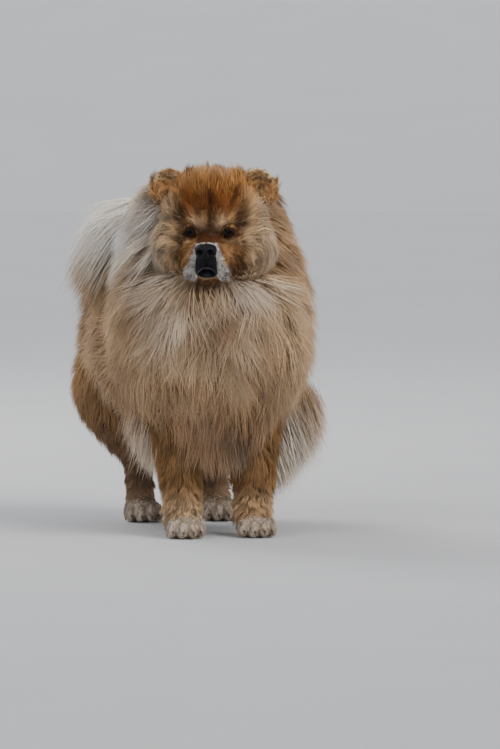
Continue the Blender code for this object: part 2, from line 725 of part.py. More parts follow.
def loose_lock(start, heading, length, size, fall, lean=0.0):
    """A lock hanging free of the body from a start and heading: it bends down by fall, its face leans forward."""
    width, thick = size
    steps = len(LOCK_TAPER)
    place, heading = np.array(start, float), np.array(heading, float)
    heading /= np.linalg.norm(heading)
    path = [place]
    for _ in range(steps):
        place = place + heading * length / steps
        path.append(place)
        heading = heading + np.array([0, 0, -fall / steps])
        heading /= np.linalg.norm(heading)
    sideways = np.cross(path[-1] - path[0], (0, 0, 1.0))
    outward = np.cross(sideways, path[-1] - path[0])
    outward = outward / np.linalg.norm(outward) + np.array([0, -lean, 0])
    return lock("lock", path, [outward] * len(path), width, thick)


def ruff_lie(place):
    """The ruff is combed away from the face and down."""
    away = place - np.array(FACE_MIDDLE)
    away /= np.linalg.norm(away)
    return away * 0.75 + np.array([0, 0.25, -0.62])


def trunk_lie(place):
    """The trunk's coat is combed back and down, and over the rump straight down."""
    over_rump = np.clip((place[1] - 0.18) / 0.08, 0, 1)
    sideways = 0.4 * (1 - over_rump) * np.sign(place[0]) * (place[2] > 0.40)
    return np.array([sideways, 0.85 - 0.6 * over_rump, -0.60 - 0.3 * over_rump])


def thigh_lie(place):
    """The thigh's coat is combed down and a little back."""
    return np.array([0, 0.45, -0.90])


def inside(form, place):
    """Whether a place lies within a form."""
    axis = np.ptp(form.centres, axis=0).argmax()
    order = np.argsort(form.centres[:, axis])
    ends = form.centres[order[[0, -1]], axis]
    t = np.interp(place[axis], form.centres[order, axis], form.knots[order])
    centre, side, up, halves = form.frame(np.array(t))
    share = np.abs([(place - centre) @ side, (place - centre) @ up]) / halves
    return ends[0] < place[axis] < ends[1] and np.sum(share**form.power) < 1


def on_head(place):
    """Whether a place lies within the head."""
    local = head_place().inverted() @ Vector(place)
    return head_depth(np.array(local)) < 0.0


def build_ruff():
    """The neck with its ruff, down to the apron on the chest, in long locks."""
    core = ruff.smaller(RUFF_INSET, ends=0.6, top=0.35, shift=(0, RUFF_BACK, 0))
    flesh = trunk.smaller(TRUNK_INSET)
    thing = core.mesh("neck_ruff", 12, 20)
    locks = combed(core, RUFF_ROWS, ruff_lie, RUFF_LOCK, lambda p: not (inside(flesh, p) or on_head(p)), 4)
    combine(thing, locks, "UNION")
    combine(thing, [head_cutter("head_cut")], "DIFFERENCE")
    finish(thing, CREAM)
    return thing


def build_trunk(neck):
    """The trunk behind the ruff, in locks that lie back and down."""
    core = trunk.smaller(TRUNK_INSET)
    thighs = [leg.smaller(2 * THIGH_INSET, ends=0.0) for leg in hindlegs]
    thing = core.mesh("torso", 12, 20)

    def keep(place):
        under_tail = abs(place[0]) < 0.05 and place[2] > 0.46
        under_belly = abs(place[0]) < 0.10 and place[2] < 0.24
        in_limb = inside(ruff, place) or any(inside(thigh, place) for thigh in thighs)
        return not (under_tail or under_belly or in_limb)

    combine(thing, combed(core, TRUNK_ROWS, trunk_lie, TRUNK_LOCK, keep, 8), "UNION")
    clear_of(thing, [neck])
    finish(thing, GOLD)
    return thing


def build_tail(body):
    """The tail, curled over the back, its plume falling mostly to the dog's right."""
    thing = tail.mesh("tail", 12, 12)
    chance = np.random.default_rng(9)
    locks = []
    for number, base in enumerate(np.linspace(0.10, 0.93, 7)):
        for order, fan in enumerate(PLUME_FANS):
            t = base + (order % 2) * 0.05
            heading, length, fall = fan[:3], fan[3], fan[4]
            heading = np.array(heading) + chance.uniform(-0.12, 0.12, 3) + np.array([0, -0.35 + 0.5 * (1 - t), 0])
            start = tail.frame(np.array(t))[0] + np.array([0, 0.012 * (number % 2), 0])
            size = PLUME_LOCK[0] * chance.uniform(0.85, 1.15), PLUME_LOCK[1]
            reach = length * chance.uniform(0.85, 1.12)
            # Locks at the two ends of the tail face forward, and those between them face outward
            lean = PLUME_LEAN * (2 * t - 1) ** 2
            locks.append(loose_lock(start, heading, reach, size, fall, lean))
    combine(thing, locks, "UNION")
    clear_of(thing, body)
    finish(thing, CREAM)


def paw_mesh(name, at, sign):
    """One paw: a pad and four toes, cut flat where it stands and where the leg begins."""
    x, y = sign * at[0], at[1]
    thing = ball(name, (x, y, PAW_PAD_HEIGHT), PAW_PAD, 12, 5)
    toes = [ball("toe", (x + dx, y + dy, TOE_HEIGHT), TOE, 7, 5) for dx, dy in TOE_PLACES]
    combine(thing, toes, "UNION")
    room = block("room", (x - 0.1, y - 0.1, FLOOR), (x + 0.1, y + 0.1, PAW_TOP))
    return combine(thing, [room], "INTERSECT")


def build_forelegs(body):
    """The forelegs, with the long feathers behind their elbows."""
    chance = np.random.default_rng(11)
    for side, sign, form in (("left", 1, forelegs[0]), ("right", -1, forelegs[1])):
        leg = form.mesh(f"foreleg_{side}", 10, 14)
        locks = []
        for x, y, z, out, back, length in FEATHERS:
            heading = (sign * out + chance.uniform(-0.06, 0.06), back + chance.uniform(-0.06, 0.06), -0.8)
            size = FEATHER_LOCK[0] * chance.uniform(0.85, 1.15), FEATHER_LOCK[1]
            reach = length * (1 if sign > 0 else FEATHERS_RIGHT)
            locks.append(loose_lock((sign * x, y, z), heading, reach, size, 0.5))
        combine(leg, locks, "UNION")
        close_leg(leg, sign, body, GOLD)
        finish(paw_mesh(f"forepaw_{side}", FOREPAW_AT, sign), CREAM)


def build_hindlegs(body):
    """The hind legs, with the long breeches of the thighs."""
    flank = trunk.smaller(TRUNK_INSET / 2)
    for side, sign, form in (("left", 1, hindlegs[0]), ("right", -1, hindlegs[1])):
        core = form.smaller(THIGH_INSET, ends=0.0)
        leg = core.mesh(f"hindleg_{side}", 12, 16)

        def keep(place, sign=sign):
            return not inside(flank, place) and (sign * place[0] > 0.06 or place[1] > 0.20)

        locks = combed(core, THIGH_ROWS, thigh_lie, THIGH_LOCK, keep, 17 + sign)
        combine(leg, locks, "UNION")
        close_leg(leg, sign, body, GOLD)
        finish(paw_mesh(f"hindpaw_{side}", HINDPAW_AT, sign), CREAM)


def close_leg(leg, sign, body, colour):
    """Cuts a leg clear of its twin, its paw and the body."""
    inner, outer = sorted((sign * GAP / 2, sign * 0.5))
    own_side = block("own_side", (inner, -0.5, PAW_TOP + GAP), (outer, 0.5, 0.6))
    combine(leg, [own_side], "INTERSECT")
    clear_of(leg, body)
    finish(leg, colour)


def main():
    clear_scene()
    build_head()
    body = [build_ruff()]
    body.append(build_trunk(body[0]))
    build_tail(body)
    build_forelegs(body)
    build_hindlegs(body)
    for thing in bpy.data.objects:
        thing.data.transform(TO_ORIGIN)


main()
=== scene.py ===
"""The looks of a life-size chow chow: skin, face, claws, a long coat in solid strands, floor, light and camera.

Metres, +Z up. The dog faces -Y and its own left side is +X. Each form of the body is a surface worked out from
two parameters; the skin joins the forms, and the strands of the coat are rooted on them and combed along them.
"""

import math

import bpy
import numpy as np
from bpy.props import FloatProperty, FloatVectorProperty, IntProperty, PointerProperty
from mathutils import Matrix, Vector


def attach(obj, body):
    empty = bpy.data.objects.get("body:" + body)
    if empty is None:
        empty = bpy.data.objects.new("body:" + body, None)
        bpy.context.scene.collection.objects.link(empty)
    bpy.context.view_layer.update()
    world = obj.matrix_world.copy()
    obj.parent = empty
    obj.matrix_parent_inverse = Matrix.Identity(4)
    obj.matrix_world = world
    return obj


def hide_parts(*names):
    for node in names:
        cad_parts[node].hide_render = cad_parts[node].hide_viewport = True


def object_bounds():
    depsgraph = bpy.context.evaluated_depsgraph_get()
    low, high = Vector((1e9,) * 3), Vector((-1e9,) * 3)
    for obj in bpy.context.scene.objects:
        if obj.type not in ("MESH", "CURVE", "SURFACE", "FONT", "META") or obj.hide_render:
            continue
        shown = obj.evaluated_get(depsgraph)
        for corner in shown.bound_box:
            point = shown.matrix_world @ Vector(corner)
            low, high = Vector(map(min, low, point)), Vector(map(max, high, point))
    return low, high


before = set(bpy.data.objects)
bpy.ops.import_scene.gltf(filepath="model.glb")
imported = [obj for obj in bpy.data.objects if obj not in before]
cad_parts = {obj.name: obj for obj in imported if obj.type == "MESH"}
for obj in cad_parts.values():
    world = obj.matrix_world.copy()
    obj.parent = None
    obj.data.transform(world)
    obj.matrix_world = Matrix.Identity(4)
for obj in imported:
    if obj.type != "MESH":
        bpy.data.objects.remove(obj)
CAD_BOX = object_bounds()
# How far strands may reach past the solids' box, sideways, lengthways and upwards
ROOM = (0.020, 0.026, 0.026)

bl_info = {
    "name": "Chow Chow",
    "version": (1, 0, 0),
    "blender": (4, 5, 0),
    "location": "3D View > Sidebar > Chow",
    "description": "A life-size chow chow with a long coat in solid strands",
    "category": "Object",
}

# Where the body's own coordinates start
ORIGIN = np.array((0.027, 0.001, 0.0))

# The head's place, its turn to the dog's right and the dip of its nose
HEAD_AT = ORIGIN + (-0.009, -0.197, 0.553)
HEAD_TURN = math.radians(-17)
HEAD_DIP = math.radians(2)

# Stations of the coat's outer surface, in the body's coordinates: x, y, z, half width, half depth
TRUNK = (
    (0, -0.190, 0.375, 0.060, 0.075),
    (0, -0.150, 0.370, 0.105, 0.120),
    (0, -0.090, 0.360, 0.160, 0.165),
    (0, -0.030, 0.350, 0.184, 0.185),
    (0, 0.040, 0.348, 0.192, 0.187),
    (0, 0.110, 0.347, 0.196, 0.184),
    (0, 0.180, 0.345, 0.196, 0.177),
    (0, 0.240, 0.340, 0.180, 0.160),
    (0, 0.290, 0.335, 0.142, 0.130),
    (0, 0.322, 0.330, 0.085, 0.085),
)
RUFF = (
    (0, -0.120, 0.660, 0.050, 0.040),
    (0, -0.112, 0.642, 0.098, 0.072),
    (0, -0.100, 0.600, 0.132, 0.104),
    (0, -0.098, 0.545, 0.144, 0.128),
    (0, -0.110, 0.490, 0.164, 0.150),
    (0, -0.125, 0.440, 0.178, 0.165),
    (0, -0.130, 0.390, 0.187, 0.172),
    (0, -0.135, 0.340, 0.188, 0.172),
    (0, -0.140, 0.290, 0.180, 0.160),
    (0, -0.150, 0.240, 0.155, 0.132),
    (0, -0.165, 0.200, 0.115, 0.098),
    (0, -0.180, 0.165, 0.060, 0.055),
)
FORELEG = (
    (0.074, -0.140, 0.300, 0.046, 0.060),
    (0.076, -0.148, 0.250, 0.053, 0.064),
    (0.074, -0.160, 0.200, 0.050, 0.060),
    (0.069, -0.170, 0.150, 0.044, 0.050),
    (0.066, -0.180, 0.100, 0.038, 0.042),
    (0.065, -0.186, 0.065, 0.034, 0.037),
    (0.065, -0.190, 0.030, 0.033, 0.036),
)
HINDLEG = (
    (0.080, 0.150, 0.380, 0.075, 0.085),
    (0.090, 0.155, 0.330, 0.098, 0.115),
    (0.096, 0.165, 0.280, 0.106, 0.130),
    (0.096, 0.178, 0.230, 0.102, 0.128),
    (0.088, 0.192, 0.185, 0.082, 0.105),
    (0.079, 0.205, 0.150, 0.053, 0.068),
    (0.074, 0.216, 0.120, 0.034, 0.044),
    (0.072, 0.214, 0.085, 0.029, 0.034),
    (0.071, 0.206, 0.055, 0.029, 0.033),
    (0.071, 0.200, 0.030, 0.030, 0.034),
)
TAIL = (
    (0.000, 0.215, 0.440, 0.026, 0.024),
    (0.000, 0.248, 0.495, 0.034, 0.028),
    (-0.008, 0.246, 0.548, 0.042, 0.032),
    (-0.024, 0.195, 0.574, 0.050, 0.034),
    (-0.042, 0.125, 0.576, 0.052, 0.032),
    (-0.056, 0.060, 0.566, 0.044, 0.026),
    (-0.064, 0.015, 0.556, 0.026, 0.015),
)
TRUNK_POWER = 2.5
RUFF_POWER = 2.2
LEG_POWER = 2.1

# How far the skin lies inside the coat
RUFF_INSET = (0.040, 0.027)
RUFF_BACK = 0.013
TRUNK_INSET = 0.035
THIGH_INSET = 0.020
FORELEG_INSET = 0.010
TAIL_INSET = 0.008
FACE_INSET = 0.0035
ROOT_DEPTH = 0.004
SKIN_VOXEL = 0.0040
FACE_MIDDLE = ORIGIN + (-0.015, -0.300, 0.575)

# Paws: pad and toes, and their places under the left legs
PAW_PAD = (0.033, 0.046, 0.030)
PAW_PAD_HEIGHT = 0.019
TOE = (0.0115, 0.022, 0.0185)
TOE_HEIGHT = 0.0165
TOE_PLACES = ((-0.0255, -0.020), (-0.0090, -0.034), (0.0090, -0.034), (0.0255, -0.020))
PAWS_AT = ((0.065, -0.196), (0.072, 0.186))

# The head's own sizes, in its frame: +X its left, -Y forward, +Z up, eyes level with the origin
EYE_AT = np.array((0.0345, -0.0610, 0.0))
EYE_RADIUS = 0.0112
NOSE_AT = np.array((0, -0.131, -0.031))
NOSE_SIZE = np.array((0.0192, 0.0135, 0.0148))
EAR_AT = np.array((0.074, 0.010, 0.060))
EAR_HEIGHT = 0.049
EAR_WIDTH = 0.031
EAR_DEPTH = 0.020
EAR_CUP = 0.010
EAR_LIP = 0.003
EAR_CURL = 0.008
EAR_SPLAY = math.radians(10)
EAR_TILT = math.radians(10)
EAR_OUTWARD = math.radians(4)
HEAD_FORMS = (
    (0.000, 0.000, 0.030, 0.082, 0.082, 0.073),
    (0.000, 0.015, -0.030, 0.080, 0.085, 0.058),
    (0.052, -0.016, -0.028, 0.047, 0.052, 0.050),
    (0.000, -0.072, -0.034, 0.036, 0.062, 0.030),
    (0.028, -0.091, -0.060, 0.022, 0.039, 0.028),
    (0.000, -0.036, 0.012, 0.030, 0.044, 0.034),
    (0.020, -0.062, 0.018, 0.014, 0.016, 0.018),
    (0.041, -0.054, -0.020, 0.015, 0.016, 0.011),
)
SOCKETS = (0.0350, -0.0800, 0.000, 0.0165, 0.0200, 0.0098)
FURROW = (0.0000, -0.0900, 0.050, 0.0100, 0.0200, 0.0360)
CHIN = (0, -0.080, -0.0765, 0.0230, 0.0375, 0.0185)
MOUTH = (0, -0.114, -0.0870, 0.0200, 0.032, 0.0240)
HEAD_BLEND = 0.0055
HOLLOW_BLEND = 0.0025
HEAD_CENTRE = np.array((0, -0.012, -0.020))

# The dark leather between the upper lips: half width, and how low it reaches
LIP_WIDTH = 0.0178
LIP_FOOT = -0.0775


def unit(v):
    """Vectors divided by their lengths."""
    return v / (np.linalg.norm(v, axis=-1, keepdims=True) + 1e-12)


def step(low, high, x):
    """A smooth rise from 0 at low to 1 at high: 3 s squared less 2 s cubed."""
    s = np.clip((x - low) / (high - low), 0, 1)
    return s * s * (3 - 2 * s)


def mix(a, b, share):
    """From a at share 0 to b at share 1, for colours with a share each."""
    share = np.asarray(share)[..., None]
    return np.asarray(a) * (1 - share) + np.asarray(b) * share


def ripple(p, size, seed):
    """Smooth noise near -1 to 1: the mean of sines of a place along seeded directions, one wave each size or so."""
    chance = np.random.default_rng(seed)
    total = 0
    for _ in range(6):
        direction = unit(chance.normal(size=3)) * chance.uniform(0.7, 1.4) * 2 * np.pi / size
        total = total + np.sin(p @ direction + chance.uniform(0, 6.28))
    return total / 3


def rotation(axis, angle):
    """The 3 x 3 turn about one of the axes x, y, z by an angle."""
    c, s = math.cos(angle), math.sin(angle)
    i, j = {"x": (1, 2), "y": (2, 0), "z": (0, 1)}[axis]
    turn = np.eye(3)
    turn[i, i], turn[j, j], turn[i, j], turn[j, i] = c, c, -s, s
    return turn


HEAD_ROTATION = rotation("z", HEAD_TURN) @ rotation("x", HEAD_DIP)


def to_world(p):
    """Places in the head's frame, moved into the world."""
    return p @ HEAD_ROTATION.T + HEAD_AT


def to_head(p):
    """Places in the world, moved into the head's frame."""
    return (p - HEAD_AT) @ HEAD_ROTATION


def smooth(t, knots, values):
    """Values at t on a smooth curve through values at knots: cubic Hermite with Catmull-Rom slopes."""
    slopes = np.gradient(values, knots, axis=0)
    t = np.clip(t, knots[0], knots[-1])
    i = np.clip(np.searchsorted(knots, t, side="right") - 1, 0, len(knots) - 2)
    span = (knots[i + 1] - knots[i])[..., None]
    s = (t - knots[i])[..., None] / span
    return (
        (2 * s**3 - 3 * s**2 + 1) * values[i]
        + (s**3 - 2 * s**2 + s) * span * slopes[i]
        + (3 * s**2 - 2 * s**3) * values[i + 1]
        + (s**3 - s**2) * span * slopes[i + 1]
    )


class Form:
    """A rounded form along a path: oval rings at u from 0 to 1, each with its centre and two half widths."""

    ends_open = True

    def __init__(self, stations, up=None, power=2.0, sign=1):
        rows = np.array(stations, float)
        self.centres, self.halves = rows[:, :3] * (sign, 1, 1) + ORIGIN, rows[:, 3:5]
        steps = np.linalg.norm(np.diff(self.centres, axis=0), axis=1)
        self.knots = np.concatenate([[0], np.cumsum(steps)]) / steps.sum()
        self.up = None if up is None else np.array(up, float)
        self.power = power

    def smaller(self, depth, ends=1.0, top=1.0, shift=(0, 0, 0)):
        """The same form inside this one by depth at its widest: its ends, and its first two fifths, by a share."""
        inner = Form.__new__(Form)
        inner.__dict__.update(self.__dict__)
        depth = np.broadcast_to(depth, 2)
        share = np.minimum(1, top + (1 - top) * self.knots / 0.4)[:, None]
        inner.halves = self.halves * (1 - share * depth / self.halves.max(0))
        span = (self.centres.max(0) - self.centres.min(0)) / 2
        middle = (self.centres.max(0) + self.centres.min(0)) / 2
        draw_in = np.where(np.arange(3) == span.argmax(), 1 - ends * depth[0] / span.max(), 1)
        inner.centres = middle + (self.centres - middle) * draw_in + np.array(shift)
        return inner

    def frame(self, u):
        """Centre, sideways and upward directions, and half widths at u."""
        centre = smooth(u, self.knots, self.centres)
        halves = smooth(u, self.knots, self.halves)
        side = np.broadcast_to((1.0, 0.0, 0.0), centre.shape)
        if self.up is not None:
            return centre, side, np.broadcast_to(self.up, centre.shape), halves
        ahead = smooth(np.clip(u + 0.01, 0, 1), self.knots, self.centres)
        behind = smooth(np.clip(u - 0.01, 0, 1), self.knots, self.centres)
        return centre, side, unit(np.cross(ahead - behind, side)), halves

    def point(self, u, v):
        """The surface at u along the path and angle v round it: a superellipse, sin and cos raised to 2 / power."""
        u, v = np.broadcast_arrays(np.asarray(u, float), np.asarray(v, float))
        centre, side, up, halves = self.frame(u)
        c, s = np.cos(v), np.sin(v)
        across = np.sign(c) * np.abs(c) ** (2 / self.power) * halves[..., 0]
        over = np.sign(s) * np.abs(s) ** (2 / self.power) * halves[..., 1]
        return centre + across[..., None] * side + over[..., None] * up

    def middle(self, u):
        """The inner place that the surface at u faces away from."""
        return self.frame(np.asarray(u, float))[0]

    def inside(self, p):
        """Which places lie within the form."""
        axis = np.ptp(self.centres, axis=0).argmax()
        order = np.argsort(self.centres[:, axis])
        u = np.interp(p[:, axis], self.centres[order, axis], self.knots[order])
        centre, side, up, halves = self.frame(u)
        share = np.stack([np.sum((p - centre) * side, 1), np.sum((p - centre) * up, 1)], 1) / halves
        low, high = self.centres[order[[0, -1]], axis]
        return (low < p[:, axis]) & (p[:, axis] < high) & (np.sum(np.abs(share) ** self.power, 1) < 1)


class Ball:
    """An ellipsoid: u runs from its top to its foot, v round it."""

    ends_open = False

    def __init__(self, centre, radii):
        self.centre, self.radii = np.array(centre, float), np.array(radii, float)

    def point(self, u, v):
        u, v = np.broadcast_arrays(np.asarray(u, float), np.asarray(v, float))
        polar = np.pi * u
        out = np.stack([np.sin(polar) * np.cos(v), np.sin(polar) * np.sin(v), np.cos(polar)], -1)
        return self.centre + out * self.radii

    def middle(self, u):
        return self.centre

    def inside(self, p):
        return np.sum(((p - self.centre) / self.radii) ** 2, 1) < 1


def both_sides(rows):
    """Rows, with a mirrored twin after each one that is off the middle."""
    return [twin for row in rows for twin in ((row, (-row[0], *row[1:])) if row[0] else (row,))]


def blended(p, rows, blend):
    """How far places lie outside a soft union of ellipsoids: -k log of the sum of exp(-distance / k)."""
    total = np.zeros(p.shape[:-1])
    for x, y, z, a, b, c in both_sides(rows):
        sizes = np.array([a, b, c])
        distance = (np.linalg.norm((p - (x, y, z)) / sizes, axis=-1) - 1) * sizes.min()
        total += np.exp(-np.clip(distance, -0.04, 0.2) / blend)
    return -blend * np.log(total + 1e-30)


def head_depth(p):
    """How far places lie outside the head: its fleshy forms less the eye sockets and the forehead's furrow."""
    solid = blended(p, HEAD_FORMS, HEAD_BLEND)
    hollow = -blended(p, (SOCKETS, FURROW), HOLLOW_BLEND)
    return HOLLOW_BLEND * np.logaddexp(solid / HOLLOW_BLEND, hollow / HOLLOW_BLEND)


def reach_of(inside, rays, far, steps=60):
    """How far along each ray the last place inside is: a march out from the middle, then 12 halvings."""
    near = np.full(rays.shape[:-1], 0.01)
    for reach in np.linspace(0.01, far, steps):
        near = np.where(inside(rays * reach), reach, near)
    last = near + far / steps
    for _ in range(12):
        half = (near + last) / 2
        within = inside(rays * half[..., None])
        near, last = np.where(within, half, near), np.where(within, last, half)
    return near


class Head:
    """The head: on each ray from its centre, where it leaves the soft union. u runs from the muzzle to the nape."""

    ends_open = False

    def __init__(self, inset, along=180, around=240):
        u = (np.arange(along) + 0.5) / along
        v = 2 * np.pi * np.arange(around) / around
        rays = self.rays(u[:, None], v[None, :])
        self.reach = reach_of(lambda p: head_depth(HEAD_CENTRE + p) < -inset, rays, 0.16)

    def rays(self, u, v):
        """Unit rays: polar angle pi u^1.35 from straight ahead, v round the forward axis."""
        u, v = np.broadcast_arrays(np.asarray(u, float), np.asarray(v, float))
        polar = np.pi * np.clip(u, 0, 1) ** 1.35
        return np.stack([np.sin(polar) * np.cos(v), -np.cos(polar), np.sin(polar) * np.sin(v)], -1)

    def local(self, u, v):
        """The surface in the head's frame, its reach read between the four nearest places of the grid."""
        along, around = self.reach.shape
        i = np.clip(np.asarray(u, float) * along - 0.5, 0, along - 1.001)
        j = (np.asarray(v, float) / (2 * np.pi) * around) % around
        i, j = np.broadcast_arrays(i, j)
        i0, j0 = i.astype(int), j.astype(int) % around
        fi, fj, j1 = i - i0, j - j.astype(int), (j0 + 1) % around
        near = self.reach[i0, j0] * (1 - fj) + self.reach[i0, j1] * fj
        far = self.reach[i0 + 1, j0] * (1 - fj) + self.reach[i0 + 1, j1] * fj
        return HEAD_CENTRE + self.rays(u, v) * (near * (1 - fi) + far * fi)[..., None]

    def point(self, u, v):
        return to_world(self.local(u, v))

    def middle(self, u):
        return to_world(HEAD_CENTRE)

    def inside(self, p):
        return head_depth(to_head(p)) < -FACE_INSET


class Ear:
    """One ear: a thick cup with a rounded tip, each level a crescent open to the front. u rises, v goes round."""

    ends_open = False

    def __init__(self, sign, shrink=0.0):
        self.shrink = shrink
        self.turn = rotation("z", sign * EAR_OUTWARD) @ rotation("y", sign * EAR_SPLAY) @ rotation("x", EAR_TILT)
        self.at = EAR_AT * (sign, 1, 1)

    def point(self, u, v):
        u, v = np.broadcast_arrays(np.clip(np.asarray(u, float), 0, 0.999), np.asarray(v, float))
        height = np.sin(-0.45 + (np.pi / 2 + 0.45) * u)
        narrow = (1 - np.clip(height, 0, 1) ** 2.6) ** 0.5 * (1 + 0.9 * np.clip(height, -1, 0))
        c, s = np.cos(v), np.sin(v)
        cup = EAR_CUP * s**2 - EAR_LIP * np.abs(s) * (1 - np.abs(s)) * 4 - self.shrink * np.abs(s)
        wall = np.where(s > 0, (EAR_DEPTH - self.shrink) * s, cup)
        x = (EAR_WIDTH - self.shrink) * narrow * c
        y = narrow * wall - EAR_CURL * np.clip(height, 0, 1) ** 2
        z = (EAR_HEIGHT - self.shrink) * height
        return to_world(np.stack([x, y, z], -1) @ self.turn.T + self.at)

    def middle(self, u):
        place = np.array((0, EAR_DEPTH * 0.55, EAR_HEIGHT * 0.2))
        return to_world(place @ self.turn.T + self.at)


trunk = Form(TRUNK, (0, 0, 1), TRUNK_POWER)
ruff = Form(RUFF, (0, 1, 0), RUFF_POWER)
tail = Form(TAIL)
trunk_skin = trunk.smaller(TRUNK_INSET)
ruff_skin = ruff.smaller(RUFF_INSET, 0.6, 0.35, (0, RUFF_BACK, 0))
tail_skin = tail.smaller(TAIL_INSET, 0.0)
foreleg_skins = [Form(FORELEG, (0, 1, 0), LEG_POWER, sign).smaller(FORELEG_INSET, 0.0) for sign in (1, -1)]
hindleg_skins = [Form(HINDLEG, (0, 1, 0), LEG_POWER, sign).smaller(THIGH_INSET, 0.0) for sign in (1, -1)]
head_skin = Head(FACE_INSET)
ears = [Ear(sign) for sign in (1, -1)]


class HeadBall(Ball):
    """An ellipsoid in the head's frame."""

    def point(self, u, v):
        return to_world(super().point(u, v))

    def middle(self, u):
        return to_world(self.centre)


chin = HeadBall(CHIN[:3], np.array(CHIN[3:]) - FACE_INSET)


def end_ball(form, u, bulge):
    """An ellipsoid that rounds off a form's open end, as deep as bulge."""
    centre, side, up, halves = form.frame(np.float64(u))
    along = np.arange(3) == np.ptp(form.centres, axis=0).argmax()
    return Ball(centre, np.abs(side) * halves[0] + np.abs(up) * halves[1] + along * bulge)


rump, crown, brisket = end_ball(trunk_skin, 1.0, 0.020), end_ball(ruff_skin, 0.0, 0.014), end_ball(ruff_skin, 1.0, 0.02)


def paw_balls(at, sign, inset):
    """The pad and the toes of one paw, as ellipsoids."""
    x, y = sign * at[0] + ORIGIN[0], at[1] + ORIGIN[1]
    pad = Ball((x, y, PAW_PAD_HEIGHT), np.array(PAW_PAD) - inset)
    return [pad] + [Ball((x + dx, y + dy, TOE_HEIGHT), np.array(TOE) - inset) for dx, dy in TOE_PLACES]


class Value:
    """A shader socket that adds its own Math nodes when it is used in an expression."""

    def __init__(self, paint, socket):
        self.paint, self.socket = paint, socket

    def math(self, operation, first, second):
        return self.paint.node("ShaderNodeMath", {"operation": operation}, {0: first, 1: second})

    def __add__(self, other):
        return self.math("ADD", self, other)

    def __mul__(self, other):
        return self.math("MULTIPLY", self, other)

    __radd__ = __add__
    __rmul__ = __mul__


class Paint:
    """A material with one Principled shader, and the nodes that feed it."""

    def __init__(self, name, fixed):
        self.material = bpy.data.materials.new(name)
        self.material.use_nodes = True
        self.tree = self.material.node_tree
        self.shader = self.tree.nodes["Principled BSDF"]
        for socket, value in fixed.items():
            self.shader.inputs[socket].default_value = value

    def node(self, kind, settings, sockets, output=0):
        """A node of a kind: its settings are set first, then its sockets, by number or name; gives one output."""
        made = self.tree.nodes.new(kind)
        for name, value in settings.items():
            if name == "stops":
                elements = made.color_ramp.elements
                while len(elements) < len(value):
                    elements.new(0.5)
                for element, (place, colour) in zip(elements, value):
                    element.position, element.color = place, (*colour, 1)
            else:
                setattr(made, name, value)
        for key, value in sockets.items():
            if isinstance(value, Value):
                self.tree.links.new(value.socket, made.inputs[key])
            else:
                made.inputs[key].default_value = value
        return Value(self, made.outputs[output])

    def feed(self, socket, value):
        """Links a value to a socket of the Principled shader."""
        self.tree.links.new(value.socket, self.shader.inputs[socket])

    def noise(self, scale, detail=2.0, roughness=0.5):
        """Smooth noise from 0 to 1 over the object's own places."""
        places = self.node("ShaderNodeTexCoord", {}, {}, "Object")
        sockets = {"Vector": places, "Scale": scale, "Detail": detail, "Roughness": roughness}
        return self.node("ShaderNodeTexNoise", {}, sockets, "Fac")

    def cells(self, scale):
        """The distance to the nearest of scattered places, as on pebbled leather."""
        places = self.node("ShaderNodeTexCoord", {}, {}, "Object")
        return self.node("ShaderNodeTexVoronoi", {}, {"Vector": places, "Scale": scale}, "Distance")

    def multiplied(self, one, other):
        """Two colours multiplied."""
        settings = {"data_type": "RGBA", "blend_type": "MULTIPLY"}
        return self.node("ShaderNodeMix", settings, {0: 1.0, 6: one, 7: other}, 2)

    def bump(self, height, distance):
        """A bump from a height in shares of a distance in metres."""
        self.feed("Normal", self.node("ShaderNodeBump", {}, {"Height": height, "Distance": distance}))


def grey(paint, value):
    """A number as an even colour."""
    return paint.node("ShaderNodeCombineColor", {}, {0: value, 1: value, 2: value})


def hair_paint(name, scale, low, fixed):
    """A material coloured by the mesh, darkened to a share by fine noise."""
    paint = Paint(name, fixed)
    colour = paint.node("ShaderNodeAttribute", {"attribute_name": "coat"}, {}, "Color")
    shade = grey(paint, paint.noise(scale) * (2 * (1 - low)) + (2 * low - 1 + (1 - low) * 0.3))
    paint.feed("Base Color", paint.multiplied(colour, shade))
    return paint


def leather_paint(name, colour, scale, depth, fixed):
    """Moist pebbled leather: a dark colour that noise lightens, and cells that raise it."""
    paint = Paint(name, fixed)
    tone = paint.noise(90.0, 3.0)
    stops = ((0.3, colour), (0.75, tuple(2.2 * c + 0.001 for c in colour)))
    paint.feed("Base Color", paint.node("ShaderNodeValToRGB", {"stops": stops}, {"Fac": tone}, "Color"))
    paint.feed("Roughness", paint.noise(400.0) * 0.25 + (fixed["Roughness"] - 0.12))
    paint.bump(paint.cells(scale), depth)
    return paint


